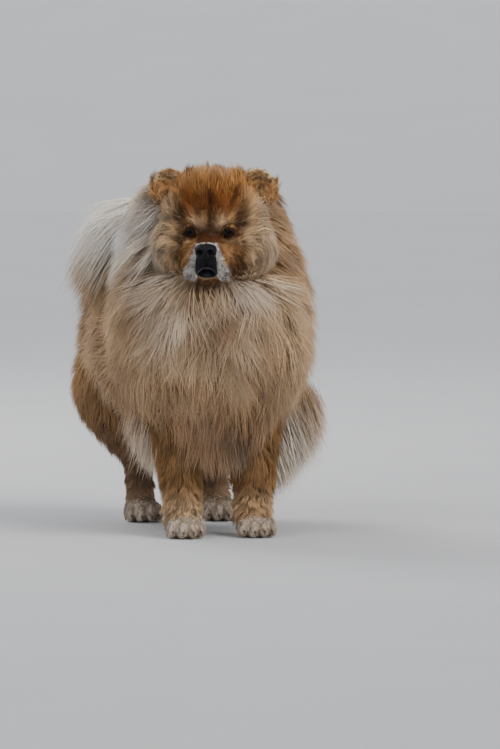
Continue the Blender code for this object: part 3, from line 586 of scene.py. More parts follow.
def finished(name, points, faces, slot, replaced=(), colours=None, normals=None, bake=None):
    """A smooth mesh piece from points and triangles or quads, riding on the body."""
    faces = np.asarray(faces)
    mesh = bpy.data.meshes.new(name)
    mesh.vertices.add(len(points))
    mesh.vertices.foreach_set("co", np.asarray(points, np.float32).ravel())
    mesh.loops.add(faces.size)
    mesh.loops.foreach_set("vertex_index", faces.astype(np.int32).ravel())
    mesh.polygons.add(len(faces))
    mesh.polygons.foreach_set("loop_start", np.arange(0, faces.size, faces.shape[1], dtype=np.int32))
    mesh.update(calc_edges=True)
    mesh.shade_smooth()
    if colours is not None:
        layer = mesh.color_attributes.new("coat", "FLOAT_COLOR", "POINT")
        opaque = np.concatenate([colours, np.ones((len(colours), 1))], 1)
        layer.data.foreach_set("color", opaque.astype(np.float32).ravel())
    if bake is not None:
        layer = mesh.uv_layers.new(name="OFBake")
        layer.uv.foreach_set("vector", bake[faces.ravel()].astype(np.float32).ravel())
    if normals is not None:
        mesh.normals_split_custom_set_from_vertices(normals)
    thing = bpy.data.objects.new(name, mesh)
    bpy.context.scene.collection.objects.link(thing)
    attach(thing, "root")
    if replaced:
        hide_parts(*replaced)
    return thing


def painted(thing, paint):
    """Gives a piece its material."""
    thing.data.materials.append(paint.material)
    return thing


def closed_grid(rings, first=None, last=None):
    """Points and triangles of rings of points (ring, place, xyz), closed by a point at each end."""
    count, around = rings.shape[:2]
    first = rings[0].mean(0) if first is None else first
    last = rings[-1].mean(0) if last is None else last
    points = np.concatenate([rings.reshape(-1, 3), [first], [last]])
    ring, place = np.arange(count - 1)[:, None] * around, np.arange(around)
    here, beside = (ring + place).ravel(), (ring + (place + 1) % around).ravel()
    sides = [np.stack([here, beside, beside + around], 1), np.stack([here, beside + around, here + around], 1)]
    onward, base = (place + 1) % around, (count - 1) * around
    caps = [
        np.stack([np.full(around, count * around), onward, place], 1),
        np.stack([np.full(around, count * around + 1), base + place, base + onward], 1),
    ]
    faces = np.concatenate(sides + caps)
    corners = points[faces] - points.mean(0)
    volume = np.sum(corners[:, 0] * np.cross(corners[:, 1], corners[:, 2]))
    return points, faces if volume > 0 else faces[:, ::-1]


def tube(path, radius, around=12):
    """Points and triangles of a closed tube along a path, its radius given at each point."""
    along = unit(np.gradient(path, axis=0))
    side = unit(np.cross(along, (0.13, 0.21, 0.97)))
    up = np.cross(side, along)
    turn = 2 * np.pi * np.arange(around) / around
    out = np.cos(turn)[:, None] * side[:, None] + np.sin(turn)[:, None] * up[:, None]
    return closed_grid(path[:, None] + np.asarray(radius)[:, None, None] * out, path[0], path[-1])


def joined(parts):
    """Several sets of points and triangles as one."""
    starts = np.cumsum([0] + [len(points) for points, _ in parts[:-1]])
    faces = np.concatenate([faces + start for (_, faces), start in zip(parts, starts)])
    return np.concatenate([points for points, _ in parts]), faces


def surface_grid(surface, along, around):
    """A surface as a closed grid, its rings closer towards the ends."""
    u = 0.5 - 0.5 * np.cos(np.pi * (np.arange(along) + 0.5) / along)
    rings = surface.point(u[:, None], 2 * np.pi * np.arange(around)[None, :] / around)
    if surface.ends_open:
        return closed_grid(rings, surface.middle(0.0), surface.middle(1.0))
    return closed_grid(rings)


def body_markings_and_shade(p):
    """The body coat's colour at places in the world, from soft masks, with painted shade and painted light among them.
    """
    tones = bpy.context.scene.chow_colours
    b = p - ORIGIN
    x, y, z = np.abs(b[:, 0]), b[:, 1], b[:, 2]
    ahead = step(-0.02, -0.10, y)
    right = b[:, 0]
    colour = mix(mix(np.broadcast_to(tones.gold, p.shape), tones.tan, 0.45), tones.tan, ahead)
    # Pale patches on both sides of the chest's parting, the neck's right side paler, partly by painted light, and
    # orange down the neck's left side, partly painted warm light
    patch = spot(b + (0.034, 0, 0), (0.042, -0.25, 0.455), (0.028, 0.15, 0.055))
    colour = mix(colour, tones.cream, 0.55 * step(0.16, 0.07, x) * step(0.30, 0.38, z) * ahead)
    colour = mix(colour, mix(np.broadcast_to(tones.cream, p.shape), tones.pale, 0.45), 1.0 * patch * ahead)
    colour = mix(colour, tones.cream, 0.55 * ahead * step(0.08, 0.14, right) * step(0.46, 0.40, z))
    # Painted light lifts the shade on the neck's right side, away from the main light and under the head
    colour = mix(colour, tones.pale, 0.85 * step(-0.03, -0.10, right) * step(0.48, 0.53, z) * ahead)
    colour = mix(colour, tones.gold, 0.30 * step(-0.09, -0.14, right) * step(0.52, 0.46, z) * ahead)
    # Partly painted warm light: the orange on the neck's left side, where the main light falls
    colour = mix(colour, tones.orange, 0.85 * step(0.055, 0.10, right) * step(0.46, 0.53, z))
    # Darker below, partly the coat's own colour and partly painted shade under the chest: the apron's foot, and amber
    # where the legs begin
    colour = mix(colour, tones.gold, 0.9 * step(0.38, 0.25, z) * step(0.16, 0.11, x) * ahead)
    colour = mix(colour, tones.amber, 0.75 * step(0.30, 0.235, z) * step(0.030, 0.060, x) * ahead)
    colour = mix(colour, tones.brown, 0.70 * step(0.35, 0.22, z) * step(0.12, 0.05, x) * ahead)
    # Painted shade along the chest's parting, in the gap where the coat parts
    parting = np.exp(-(((right + 0.034) / 0.013) ** 2)) * step(0.37, 0.42, z) * step(0.60, 0.52, z)
    colour = mix(colour, mix(np.broadcast_to(tones.brown, p.shape), tones.umber, 0.4), 0.85 * parting * ahead)
    colour = mix(colour, tones.brown, 0.85 * step(0.28, 0.17, z) * step(0.08, 0.13, y))
    colour = mix(colour, tones.pale, step(0.47, 0.51, z) * step(-0.02, 0.02, y))
    colour = mix(colour, tones.gold, 0.60 * np.clip(1.5 * ripple(b, 0.085, 13), 0, 1) * ahead)
    return mix(colour, tones.cream, 0.50 * np.clip(1.3 * ripple(b, 0.10, 3), 0, 1))


def foreleg_markings(p):
    """Amber forelegs, cream below."""
    tones = bpy.context.scene.chow_colours
    colour = mix(tones.amber, tones.cream, 0.8 * step(0.115, 0.060, p[:, 2]))
    return mix(colour, tones.orange, 0.25 * np.clip(ripple(p, 0.05, 4), 0, 1))


def hindleg_markings(p):
    """Brown hind legs under golden thighs, cream below."""
    tones = bpy.context.scene.chow_colours
    trunk_tone = mix(np.broadcast_to(tones.gold, p.shape), tones.tan, 0.4 * step(0.24, 0.34, p[:, 2]))
    colour = mix(np.broadcast_to(tones.brown, p.shape), trunk_tone, 0.9 * step(0.14, 0.30, p[:, 2]))
    return mix(colour, tones.cream, 0.45 * step(0.08, 0.04, p[:, 2]))


def paw_markings(p):
    """Pale paws."""
    tones = bpy.context.scene.chow_colours
    return mix(tones.cream, tones.pale, 0.30 + 0.3 * np.clip(ripple(p, 0.02, 5), 0, 1))


def tail_markings(p):
    """A pale plume."""
    tones = bpy.context.scene.chow_colours
    return mix(tones.pale, tones.cream, 0.3 + 0.3 * np.clip(ripple(p, 0.06, 6), 0, 1))


def spot(q, centre, radii):
    """A soft spot on both sides of the face: e to the minus squared distance in radii."""
    near = (np.abs(q[:, 0]) - centre[0]) ** 2 / radii[0] ** 2
    for axis in (1, 2):
        near = near + (q[:, axis] - centre[axis]) ** 2 / radii[axis] ** 2
    return np.exp(-near)


def face_markings_and_shade(p):
    """The colour of the face, the ears and the chin at places in the world, with painted shade and painted light."""
    tones = bpy.context.scene.chow_colours
    q = to_head(p)
    x, y, z = np.abs(q[:, 0]), q[:, 1], q[:, 2]
    before = step(0.02, -0.03, y)
    x = x + 0.005 * ripple(q, 0.022, 11)
    z = z + 0.004 * ripple(q, 0.020, 12)
    # Cheeks paler outwards, the crown rust in the middle and orange at its edges and above
    colour = mix(np.broadcast_to(tones.gold, q.shape), tones.tan, step(0.042, 0.052, x))
    colour = mix(colour, tones.cream, step(0.050, 0.070, x))
    # Painted light: the outer cheek on the dog's right side, away from the main light, is painted paler
    colour = mix(colour, tones.pale, 0.4 * step(-0.070, -0.090, q[:, 0]) * step(0.04, 0.0, z))
    colour = mix(colour, tones.orange, 0.9 * step(0.026, 0.046, z))
    colour = mix(colour, tones.rust, 0.95 * step(0.016, 0.034, z) * step(0.066, 0.052, z) * step(0.066, 0.036, x) * before)
    # Paler on top of the head and at the ears' tips: partly the hair's own paler tips, partly painted rim light
    colour = mix(colour, tones.cream, 0.45 * step(0.072, 0.090, z))
    colour = mix(colour, tones.cream, 0.8 * spot(q, (0.074, -0.030, 0.034), (0.020, 0.06, 0.018)))
    # Painted shade in the furrow, and along the dark lines from it to the eyes
    colour = mix(colour, tones.umber, 0.95 * spot(q, (0, -0.085, 0.034), (0.010, 0.06, 0.030)) ** 0.7)
    line = np.exp(-(((z - 0.009 + 0.42 * x) / 0.0062) ** 2)) * step(0.036, 0.028, x)
    colour = mix(colour, tones.umber, 0.75 * line * before)
    # The bridge of the muzzle and its sides
    bridge = step(0.052, 0.040, x) * step(0.006, -0.004, z) * step(-0.066, -0.050, z) * step(-0.045, -0.060, y)
    colour = mix(colour, mix(np.broadcast_to(tones.rust, q.shape), tones.gold, 0.75 * step(0.014, 0.030, x)), bridge)
    # Painted shade beside the bridge, under the eyes' inner corners
    colour = mix(colour, tones.umber, 0.70 * step(0.028, 0.016, x) * step(-0.026, -0.012, z) * step(0.02, 0.0, z) * before)
    # Dark from the outer brow past the eye's outer corner down to the mouth: a dark marking, with painted shade in the
    # crease between the muzzle and the cheek
    stripe_and_crease_shade = np.exp(-(((x - 0.048) / 0.0085) ** 2)) * step(-0.100, -0.080, z) * step(0.044, 0.026, z)
    colour = mix(colour, tones.umber, 0.85 * stripe_and_crease_shade * step(-0.01, -0.03, y))
    # The pale brow over each eye's inner corner, and a pale fleck below the eye
    colour = mix(colour, tones.cream, 0.95 * spot(q, (0.0225, -0.080, 0.0120), (0.0068, 0.04, 0.0095)) ** 0.6)
    colour = mix(colour, tones.cream, 0.7 * spot(q, (0.038, -0.075, -0.0105), (0.0055, 0.03, 0.0040)))
    # Grey round the nose and down over the upper lips, with dark specks
    plain_x, plain_z = np.abs(q[:, 0]), q[:, 2]
    edge = np.interp(-plain_z, (0.012, 0.018, 0.028, 0.046, 0.061, 0.09), (0.0, 0.0165, 0.0200, 0.027, 0.038, 0.039))
    flew = step(0.0045, -0.0025, plain_x - edge) * step(-0.070, -0.082, y) * step(-0.0165, -0.0185, plain_z)
    flew = flew * np.maximum(step(0.016, 0.021, plain_x), step(-0.078, -0.074, plain_z))
    colour = mix(colour, tones.grey, flew)
    specks = step(0.25, 0.70, ripple(q, 0.0048, 7)) * flew * step(-0.045, -0.055, z) * step(0.019, 0.023, plain_x)
    colour = mix(colour, tones.umber, 0.75 * specks)
    # Painted shadow under the upper lips and beside the chin
    low = step(-0.082, -0.090, z) * step(0.060, 0.045, x) * step(-0.03, -0.06, y)
    colour = mix(colour, tones.umber, 0.8 * low)
    # Painted shade in the hollow of each ear's cup
    return mix(colour, tones.umber, 0.6 * spot(q, (0.064, -0.004, 0.073), (0.006, 0.015, 0.008)))


def chin_shade_and_markings(p):
    """A chin darkened by painted shade under the jaw, with a little gold, and grey at its front edge."""
    tones = bpy.context.scene.chow_colours
    q = to_head(p)
    # Painted shade: the chin is mostly umber, under the jaw
    colour = mix(np.broadcast_to(tones.umber, q.shape), tones.gold, 0.30 + 0.3 * step(0.010, 0.022, np.abs(q[:, 0])))
    return mix(colour, tones.grey, 0.6 * step(-0.078, -0.074, q[:, 2]) * step(0.018, 0.012, np.abs(q[:, 0])))


def lid_shade_and_markings(p):
    """Dark round the eyes, partly painted shade round the deep-set eyes, and the face's colour farther off."""
    q = to_head(p)
    off = np.hypot((np.abs(q[:, 0]) - EYE_AT[0]), 1.3 * q[:, 2])
    # Painted shade close round the eye, fading to the face's colour
    return mix(np.array(bpy.context.scene.chow_colours.umber) * 0.8, face_markings_and_shade(p), 0.9 * step(0.0066, 0.0105, off))


def scatter(surface, count, seed, keep=None, density=None):
    """About count roots spread evenly over a surface: quasi-random candidates, kept in proportion to their area."""
    many = count * 8
    order = np.arange(many)
    u, v = (0.5 + order * 0.7548776662) % 1, (0.5 + order * 0.5698402910) % 1 * 2 * np.pi
    near, small = surface.point(u, v), 1e-3
    area = np.linalg.norm(
        np.cross(surface.point(np.minimum(u + small, 1), v) - near, surface.point(u, v + small) - near), axis=1
    )
    if keep is not None:
        area = area * keep(near)
    if density is not None:
        area = area * density(near)
    chosen = np.random.default_rng(seed).random(many) * area.sum() < count * area
    return u[chosen], v[chosen]


def comb(surface, u, v, lie, length, rise, tilt, levels, fall=0.4):
    """Lines over a surface from u, v: each step goes a share of the length along the lie, turned by tilt, and rises.

    The step in u and v is the least squares solution of du su + dv sv = step. Past an open end a line runs free and
    bends down. The height above the surface is rise (k / levels)^0.8, less the root's depth times (1 - k / levels)^2.
    """
    u, v = u.copy(), v.copy()
    small = 0.004
    path, facing = [], []
    place = heading = normal = side = None
    for k in range(levels + 1):
        uc = np.clip(u, 2 * small, 1 - 2 * small)
        here = surface.point(uc, v)
        along = (surface.point(uc + small, v) - surface.point(uc - small, v)) / (2 * small)
        around = (surface.point(uc, v + small) - surface.point(uc, v - small)) / (2 * small)
        out = unit(np.cross(along, around))
        if k == 0:
            side = np.sign(np.mean(np.sign(np.sum(out * (here - surface.middle(uc)), 1))))
        out = out * side
        combed = lie(here)
        combed = unit(combed - out * np.sum(combed * out, 1, keepdims=True))
        combed = combed * np.cos(tilt)[:, None] + np.cross(out, combed) * np.sin(tilt)[:, None]
        if k == 0:
            place, heading, normal = here, combed, out
            free = np.zeros(len(u), bool)
        else:
            free = free | (surface.ends_open & ((u < small) | (u > 1 - small)))
            drooping = unit(heading + np.array((0, 0, -fall)))
            heading = np.where(free[:, None], drooping, combed)
            normal = np.where(free[:, None], normal, out)
            place = np.where(free[:, None], place + drooping * (length / levels)[:, None], here)
        stride = (length / levels)[:, None] * heading
        a, b, c = np.sum(along**2, 1), np.sum(along * around, 1), np.sum(around**2, 1)
        p, q = np.sum(along * stride, 1), np.sum(around * stride, 1)
        shrink = a * c - b * b + 1e-9 * (a + c) + 1e-14
        u = u + np.clip((c * p - b * q) / shrink, -0.4, 0.4)
        v = v + np.clip((a * q - b * p) / shrink, -0.8, 0.8)
        lift = rise * (k / levels) ** 0.8 - ROOT_DEPTH * (1 - k / levels) ** 2
        path.append(place + normal * lift[:, None])
        facing.append(normal)
    return np.stack(path, 1), np.stack(facing, 1)


def hang(start, heading, length, fall, levels, outward):
    """Free lines from starts and headings, which bend down by fall over their length, and the way that they face."""
    place, heading = start, unit(heading)
    path = [place]
    for _ in range(levels):
        place = place + heading * (length / levels)[:, None]
        path.append(place)
        heading = unit(heading + np.array((0, 0, -1.0)) * (fall / levels)[:, None])
    facing = np.repeat(unit(outward)[:, None], levels + 1, 1)
    return np.stack(path, 1), facing


def clumps_of(roots, size, seed):
    """The clump of each root: the nearest of centres drawn from the roots, about one for each size squared."""
    chance = np.random.default_rng(seed)
    spread = np.ptp(roots, axis=0)
    area = 1.5 * (spread[0] * spread[1] + spread[1] * spread[2] + spread[2] * spread[0])
    count = int(np.clip(area / size**2, 8, min(2400, len(roots) // 4)))
    centres = roots[chance.choice(len(roots), count, replace=False)]
    pieces = np.array_split(roots, len(roots) * count // 4000000 + 1)
    which = [np.argmin(((piece[:, None] - centres) ** 2).sum(-1), 1) for piece in pieces]
    return np.concatenate(which), centres


def strands(name, path, facing, width, colours, place, slot, paint, pieces=1, flat=0.42, lean=1.0):
    """Closed, three-sided strands along paths: a point at the root, a ring at each level, a point at the tip.

    The width swells to 1 at a third of the length. Normals lean towards the way each strand faces. The bake map is
    a patch 0.003 across for each strand at its root's place. Neighbours are kept in one piece. A strand that would
    reach too far past the solids' box is shortened.
    """
    levels = path.shape[1] - 1
    root = path[:, :1]
    reach = path - root
    bound = np.where(reach > 0, np.array(CAD_BOX[1]) + ROOM, np.array(CAD_BOX[0]) - ROOM) - root
    fits = np.where(np.abs(reach) > 1e-6, bound / np.where(np.abs(reach) > 1e-6, reach, 1), 1)
    path = root + reach * np.clip(fits.min((1, 2)), 0.2, 1)[:, None, None]
    share = np.interp(np.arange(1, levels) / levels, (0, 0.35, 1), (0.6, 1.0, 0.25))[None, :, None]
    along = unit(np.gradient(path, axis=1))[:, 1:-1]
    across = unit(np.cross(along, facing[:, 1:-1]))
    over = unit(np.cross(across, along))
    half = np.asarray(width)[:, None, None] / 2 * share
    middle = path[:, 1:-1]
    low = middle - over * half * flat
    rings = np.stack([low - across * half, middle + over * half * flat * 1.6, low + across * half], 2)
    leaning = unit(unit(rings - middle[:, :, None]) * 0.55 + facing[:, 1:-1, None] * lean)
    ends = path[:, [0, -1]]
    points = np.concatenate([rings.reshape(len(path), -1, 3), ends], 1)
    normals = np.concatenate([leaning.reshape(len(path), -1, 3), facing[:, [0, -1]]], 1)
    shades = np.concatenate([np.repeat(colours[:, 1:-1], 3, 1), colours[:, [0, -1]]], 1)
    spots = [(0.5 * (k % 3), (k // 3 + 1) / levels) for k in range(3 * levels - 3)] + [(0.5, 0.0), (0.5, 1.0)]
    bake = place[:, None] * 0.996 + np.array(spots) * 0.003
    root, tip = 3 * levels - 3, 3 * levels - 2
    template = [(root, (side + 1) % 3, side) for side in range(3)]
    for level in range(levels - 2):
        for side in range(3):
            a, b = 3 * level + side, 3 * level + (side + 1) % 3
            template += [(a, b, b + 3), (a, b + 3, a + 3)]
    template += [(root - 3 + side, root - 3 + (side + 1) % 3, tip) for side in range(3)]
    template = np.array(template)
    corners = (points[:200] - points[:200, :1])[:, template]
    if np.sum(corners[:, :, 0] * np.cross(corners[:, :, 1], corners[:, :, 2])) < 0:
        template = template[:, ::-1]
    order = np.argsort(place[:, 0] + 1e-3 * place[:, 1], kind="stable")
    for number, chosen in enumerate(np.array_split(order, pieces)):
        faces = (np.arange(len(chosen))[:, None, None] * points.shape[1] + template).reshape(-1, 3)
        label = name if pieces == 1 else f"{name}_{number + 1}"
        shown = [a[chosen].reshape(-1, a.shape[-1]) for a in (points, shades, normals, bake)]
        painted(finished(label, shown[0], faces, slot, (), *shown[1:]), paint)


def coloured(base, levels, tone, dark, light, pale):
    """Each strand's colours from root to tip: its base, darkened at the root by painted shade, brightened towards the
    tip by painted light, and paler at the tip.
    """
    tones = bpy.context.scene.chow_colours
    base = base * np.clip(1 + 0.28 * tone, 0.42, 1.6)[:, None]
    tip = np.array(tones.pale) * (1 + 0.1 * tone)[:, None]
    shades = []
    for k in range(levels + 1):
        s = k / levels
        # Painted shade darkens the root and painted light brightens the tip; the mix towards pale is the tips' own
        # colour
        shade = mix(base, tip, np.full(len(base), pale * s**1.5))
        shades.append(shade * (dark + (light - dark) * s))
    return np.clip(np.stack(shades, 1), 0, 1)


def grow(name, surface, count, lie, length, rise, width, seed, slot, paint, tint=body_markings_and_shade, clump=0.02, pull=0.5,
         levels=3, keep=None, density=None, pieces=1, shade=(0.7, 1.12, 0.15), wild=0.20, wave=0.0015, lean=1.0):
    """A coat of strands over a surface. Length, rise and width are numbers or functions of the root's place.

    Strands of one clump share a tilt, a length and a rise, and are drawn towards its middle by pull s^1.5, where s
    runs from root to tip. Painted shade darkens them towards the clump's edge: by 1.6 times the share of its size,
    squared. Wave bends each strand sideways a little. One strand in seven is a longer, finer hair.
    """
    count = int(count * bpy.context.scene.chow_coat.density)
    u, v = scatter(surface, count, seed, keep, density)
    chance = np.random.default_rng(seed + 100)
    roots = surface.point(u, v)
    which, centres = clumps_of(roots, clump, seed + 200)
    shared = chance.normal(size=(3, len(centres)))[:, which]
    own = chance.normal(size=(4, len(u)))
    guard = chance.random(len(u)) < 0.14
    sized = [value(roots) if callable(value) else np.full(len(u), value) for value in (length, rise, width)]
    long = sized[0] * np.clip(1 + 0.12 * shared[0] + 0.12 * own[0], 0.55, 1.3) * np.where(guard, 1.15, 1)
    high = sized[1] * np.clip(0.86 + 0.22 * shared[1] + 0.14 * own[1], 0.2, 1.25) * np.where(guard, 1.1, 1)
    tilt = np.clip(wild * (shared[2] + 0.45 * own[2] + 0.8 * ripple(roots, 4 * clump, seed)), -0.6, 0.6)
    path, facing = comb(surface, u, v, lie, long, high, tilt, levels)
    s = np.linspace(0, 1, levels + 1)[None, :, None]
    path = path + (centres[which] - roots)[:, None] * pull * s**1.5
    sideways = unit(np.cross(facing[:, 1], path[:, -1] - path[:, 0]))
    path = path + sideways[:, None] * wave * np.sin(5 * s + 3 * own[3][:, None, None]) * s
    path[..., 2] = np.maximum(path[..., 2], 0.0015)
    # Painted shade: strands darken towards their clump's edge, as shade between the locks
    edge = np.linalg.norm(centres[which] - roots, axis=1) / clump
    tone = 0.9 * shared[0] + 0.4 * own[0] + 0.9 * ripple(roots, 3 * clump, seed + 1) + 0.5 - 1.6 * edge**2
    colours = coloured(tint(roots), levels, tone, *shade)
    wide = sized[2] * np.clip(1 + 0.2 * own[1], 0.6, 1.5) * np.where(guard, 0.6, 1)
    place = np.stack([v / (2 * np.pi) % 1, u], 1)
    strands(name, path, facing, wide, colours, place, slot, paint, pieces, lean=lean)


def ruff_lie(p):
    """The ruff is combed away from the face and down."""
    return unit(p - FACE_MIDDLE) * 0.62 + np.array([0, 0.22, -0.72])


def trunk_lie(p):
    """The trunk's coat is combed back and down, and over the rump straight down."""
    b = p - ORIGIN
    over_rump = np.clip((b[:, 1] - 0.18) / 0.08, 0, 1)
    sideways = 0.4 * (1 - over_rump) * np.sign(b[:, 0]) * step(0.36, 0.44, b[:, 2])
    return np.stack([sideways, 0.85 - 0.6 * over_rump, -0.60 - 0.3 * over_rump], 1)


def thigh_lie(p):
    """The thigh's coat is combed down and a little back."""
    return np.broadcast_to((0, 0.45, -0.90), p.shape)


def leg_lie(p):
    """The legs' coat is combed down, and back where it meets the feathers."""
    return np.broadcast_to((0, 0.25, -0.95), p.shape)


def paw_lie(p):
    """The paws' coat is combed forward and down."""
    return np.broadcast_to((0, -0.8, -0.5), p.shape)


def apron_lie(p):
    """The foot of the apron hangs down and back."""
    return np.broadcast_to((0, 0.3, -1.0), p.shape)


def head_lie(p):
    """The face's coat is combed away from the nose: up over the brow and forehead, back and down over the cheeks."""
    q = to_head(p)
    away = unit(q - (NOSE_AT + (0, -0.005, 0.004)))
    up = step(0.00, 0.03, q[:, 2])[:, None]
    bent = away * 0.9 + up * np.array((0, 0.2, 0.5)) + (1 - up) * np.array((0, 0.45, -0.45))
    eye = EYE_AT * np.stack([np.sign(q[:, 0]), np.ones(len(q)), np.ones(len(q))], 1)
    off_eye = (q - eye) * (1, 0, 1)
    about = step(0.024, 0.012, np.linalg.norm(off_eye, axis=1))[:, None]
    bent = bent * (1 - 0.85 * about) + unit(off_eye) * 1.2 * about
    return bent @ HEAD_ROTATION.T


def off_face_parts(p):
    """1 where the head grows hair: off the eyes, the nose and the dark leather of the lips."""
    q = to_head(p)
    x, y, z = np.abs(q[:, 0]), q[:, 1], q[:, 2]
    eye = ((x - EYE_AT[0]) / 0.0075) ** 2 + (z / 0.0040) ** 2 + ((y + 0.072) / 0.03) ** 2 < 1
    nose = np.sum(((q - NOSE_AT) / (NOSE_SIZE * (1.02, 1.9, 1.02))) ** 2, 1) < 1
    lips = (x < LIP_WIDTH) & (z < NOSE_AT[2] - 0.006) & (z > LIP_FOOT) & (y < -0.095)
    return ~(eye | nose | lips)


def face_length(p):
    """Hair on the muzzle is shortest, and it lengthens over the brow and cheeks to the crown and jowls."""
    q = to_head(p)
    far = np.linalg.norm(q - (0, -0.120, -0.035), axis=1)
    eye = np.linalg.norm((np.abs(q) - EYE_AT * (1, -1, 1)) * (1, 0, 1), axis=1)
    near_eye = 0.35 + 0.65 * step(0.010, 0.028, eye + 0.05 * step(-0.02, 0.0, q[:, 1]))
    brow = 1 - 0.5 * spot(q, (0.0225, -0.080, 0.0150), (0.014, 0.04, 0.016))
    corner = 0.009 * on_crown(q) * step(0.030, 0.055, np.abs(q[:, 0]))
    return (0.0048 + 0.013 * step(0.035, 0.075, far) + 0.018 * step(0.075, 0.125, far)) * near_eye * brow + corner


def on_ear(p, sign):
    """Places in the world, moved into the frame of one ear's foot."""
    return (to_head(p) - EAR_AT * (sign, 1, 1)) @ ears[0 if sign > 0 else 1].turn


def on_crown(q):
    """1 on the corners of the crown between the forehead and the ears, where the hair stands up."""
    return step(0.050, 0.080, q[:, 2]) * (0.30 + 0.70 * step(0.020, 0.050, np.abs(q[:, 0])))


def face_rise(p):
    """The face's hair lies close on the muzzle and stands on the crown and cheeks."""
    q = to_head(p)
    return face_length(p) * (0.40 + 0.18 * on_crown(q))


class ChowColours(bpy.types.PropertyGroup):
    """The coat's and the skin's colours, as linear values."""

    cream: FloatVectorProperty(name="Cream", description="Chest and cheeks", subtype="COLOR", default=(0.60, 0.40, 0.225))
    tan: FloatVectorProperty(name="Tan", description="Ruff", subtype="COLOR", default=(0.50, 0.305, 0.145))
    gold: FloatVectorProperty(name="Gold", description="Trunk", subtype="COLOR", default=(0.37, 0.195, 0.078))
    brown: FloatVectorProperty(name="Brown", description="Hind legs", subtype="COLOR", default=(0.16, 0.085, 0.040))
    amber: FloatVectorProperty(name="Amber", description="Forelegs", subtype="COLOR", default=(0.225, 0.115, 0.042))
    orange: FloatVectorProperty(name="Orange", description="Crown", subtype="COLOR", default=(0.46, 0.20, 0.052))
    rust: FloatVectorProperty(name="Rust", description="Forehead", subtype="COLOR", default=(0.175, 0.050, 0.006))
    umber: FloatVectorProperty(name="Umber", description="Shadows of the face", subtype="COLOR", default=(0.042, 0.012, 0.003))
    pale: FloatVectorProperty(name="Pale", description="Plume and tips", subtype="COLOR", default=(0.88, 0.82, 0.75))
    grey: FloatVectorProperty(name="Grey", description="Upper lips", subtype="COLOR", default=(0.56, 0.51, 0.465))
    black: FloatVectorProperty(name="Black", description="Nose and lips", subtype="COLOR", default=(0.0015, 0.0015, 0.0025))


class ChowCoat(bpy.types.PropertyGroup):
    """The coat's sizes."""

    density: FloatProperty(name="Density", description="Share of the full number of strands", default=1.0)
    ruff: FloatProperty(name="Ruff", description="Length of the ruff's hair", unit="LENGTH", default=0.088)
    trunk: FloatProperty(name="Trunk", description="Length of the trunk's hair", unit="LENGTH", default=0.085)
    thigh: FloatProperty(name="Thigh", description="Length of the thighs' hair", unit="LENGTH", default=0.066)
    leg: FloatProperty(name="Leg", description="Length of the forelegs' hair", unit="LENGTH", default=0.034)
    paw: FloatProperty(name="Paw", description="Length of the paws' hair", unit="LENGTH", default=0.012)
    ear: FloatProperty(name="Ear", description="Length of the ears' hair", unit="LENGTH", default=0.013)


class ChowStage(bpy.types.PropertyGroup):
    """The camera and the light."""

    azimuth: FloatProperty(name="Azimuth", description="Where the camera stands", subtype="ANGLE", default=math.radians(-11))
    elevation: FloatProperty(name="Elevation", description="How high it looks", subtype="ANGLE", default=math.radians(3.5))
    distance: FloatProperty(name="Distance", description="From the camera", unit="LENGTH", default=14.0)
    lens: FloatProperty(name="Lens", description="Focal length in millimetres", default=370.0)
    aside: FloatProperty(name="Aside", description="The view's middle, sideways", unit="LENGTH", default=0.120)
    height: FloatProperty(name="Height", description="The view's middle, upwards", unit="LENGTH", default=0.2805)
    light: FloatProperty(name="Light", description="Strength of the main light", default=1.0)


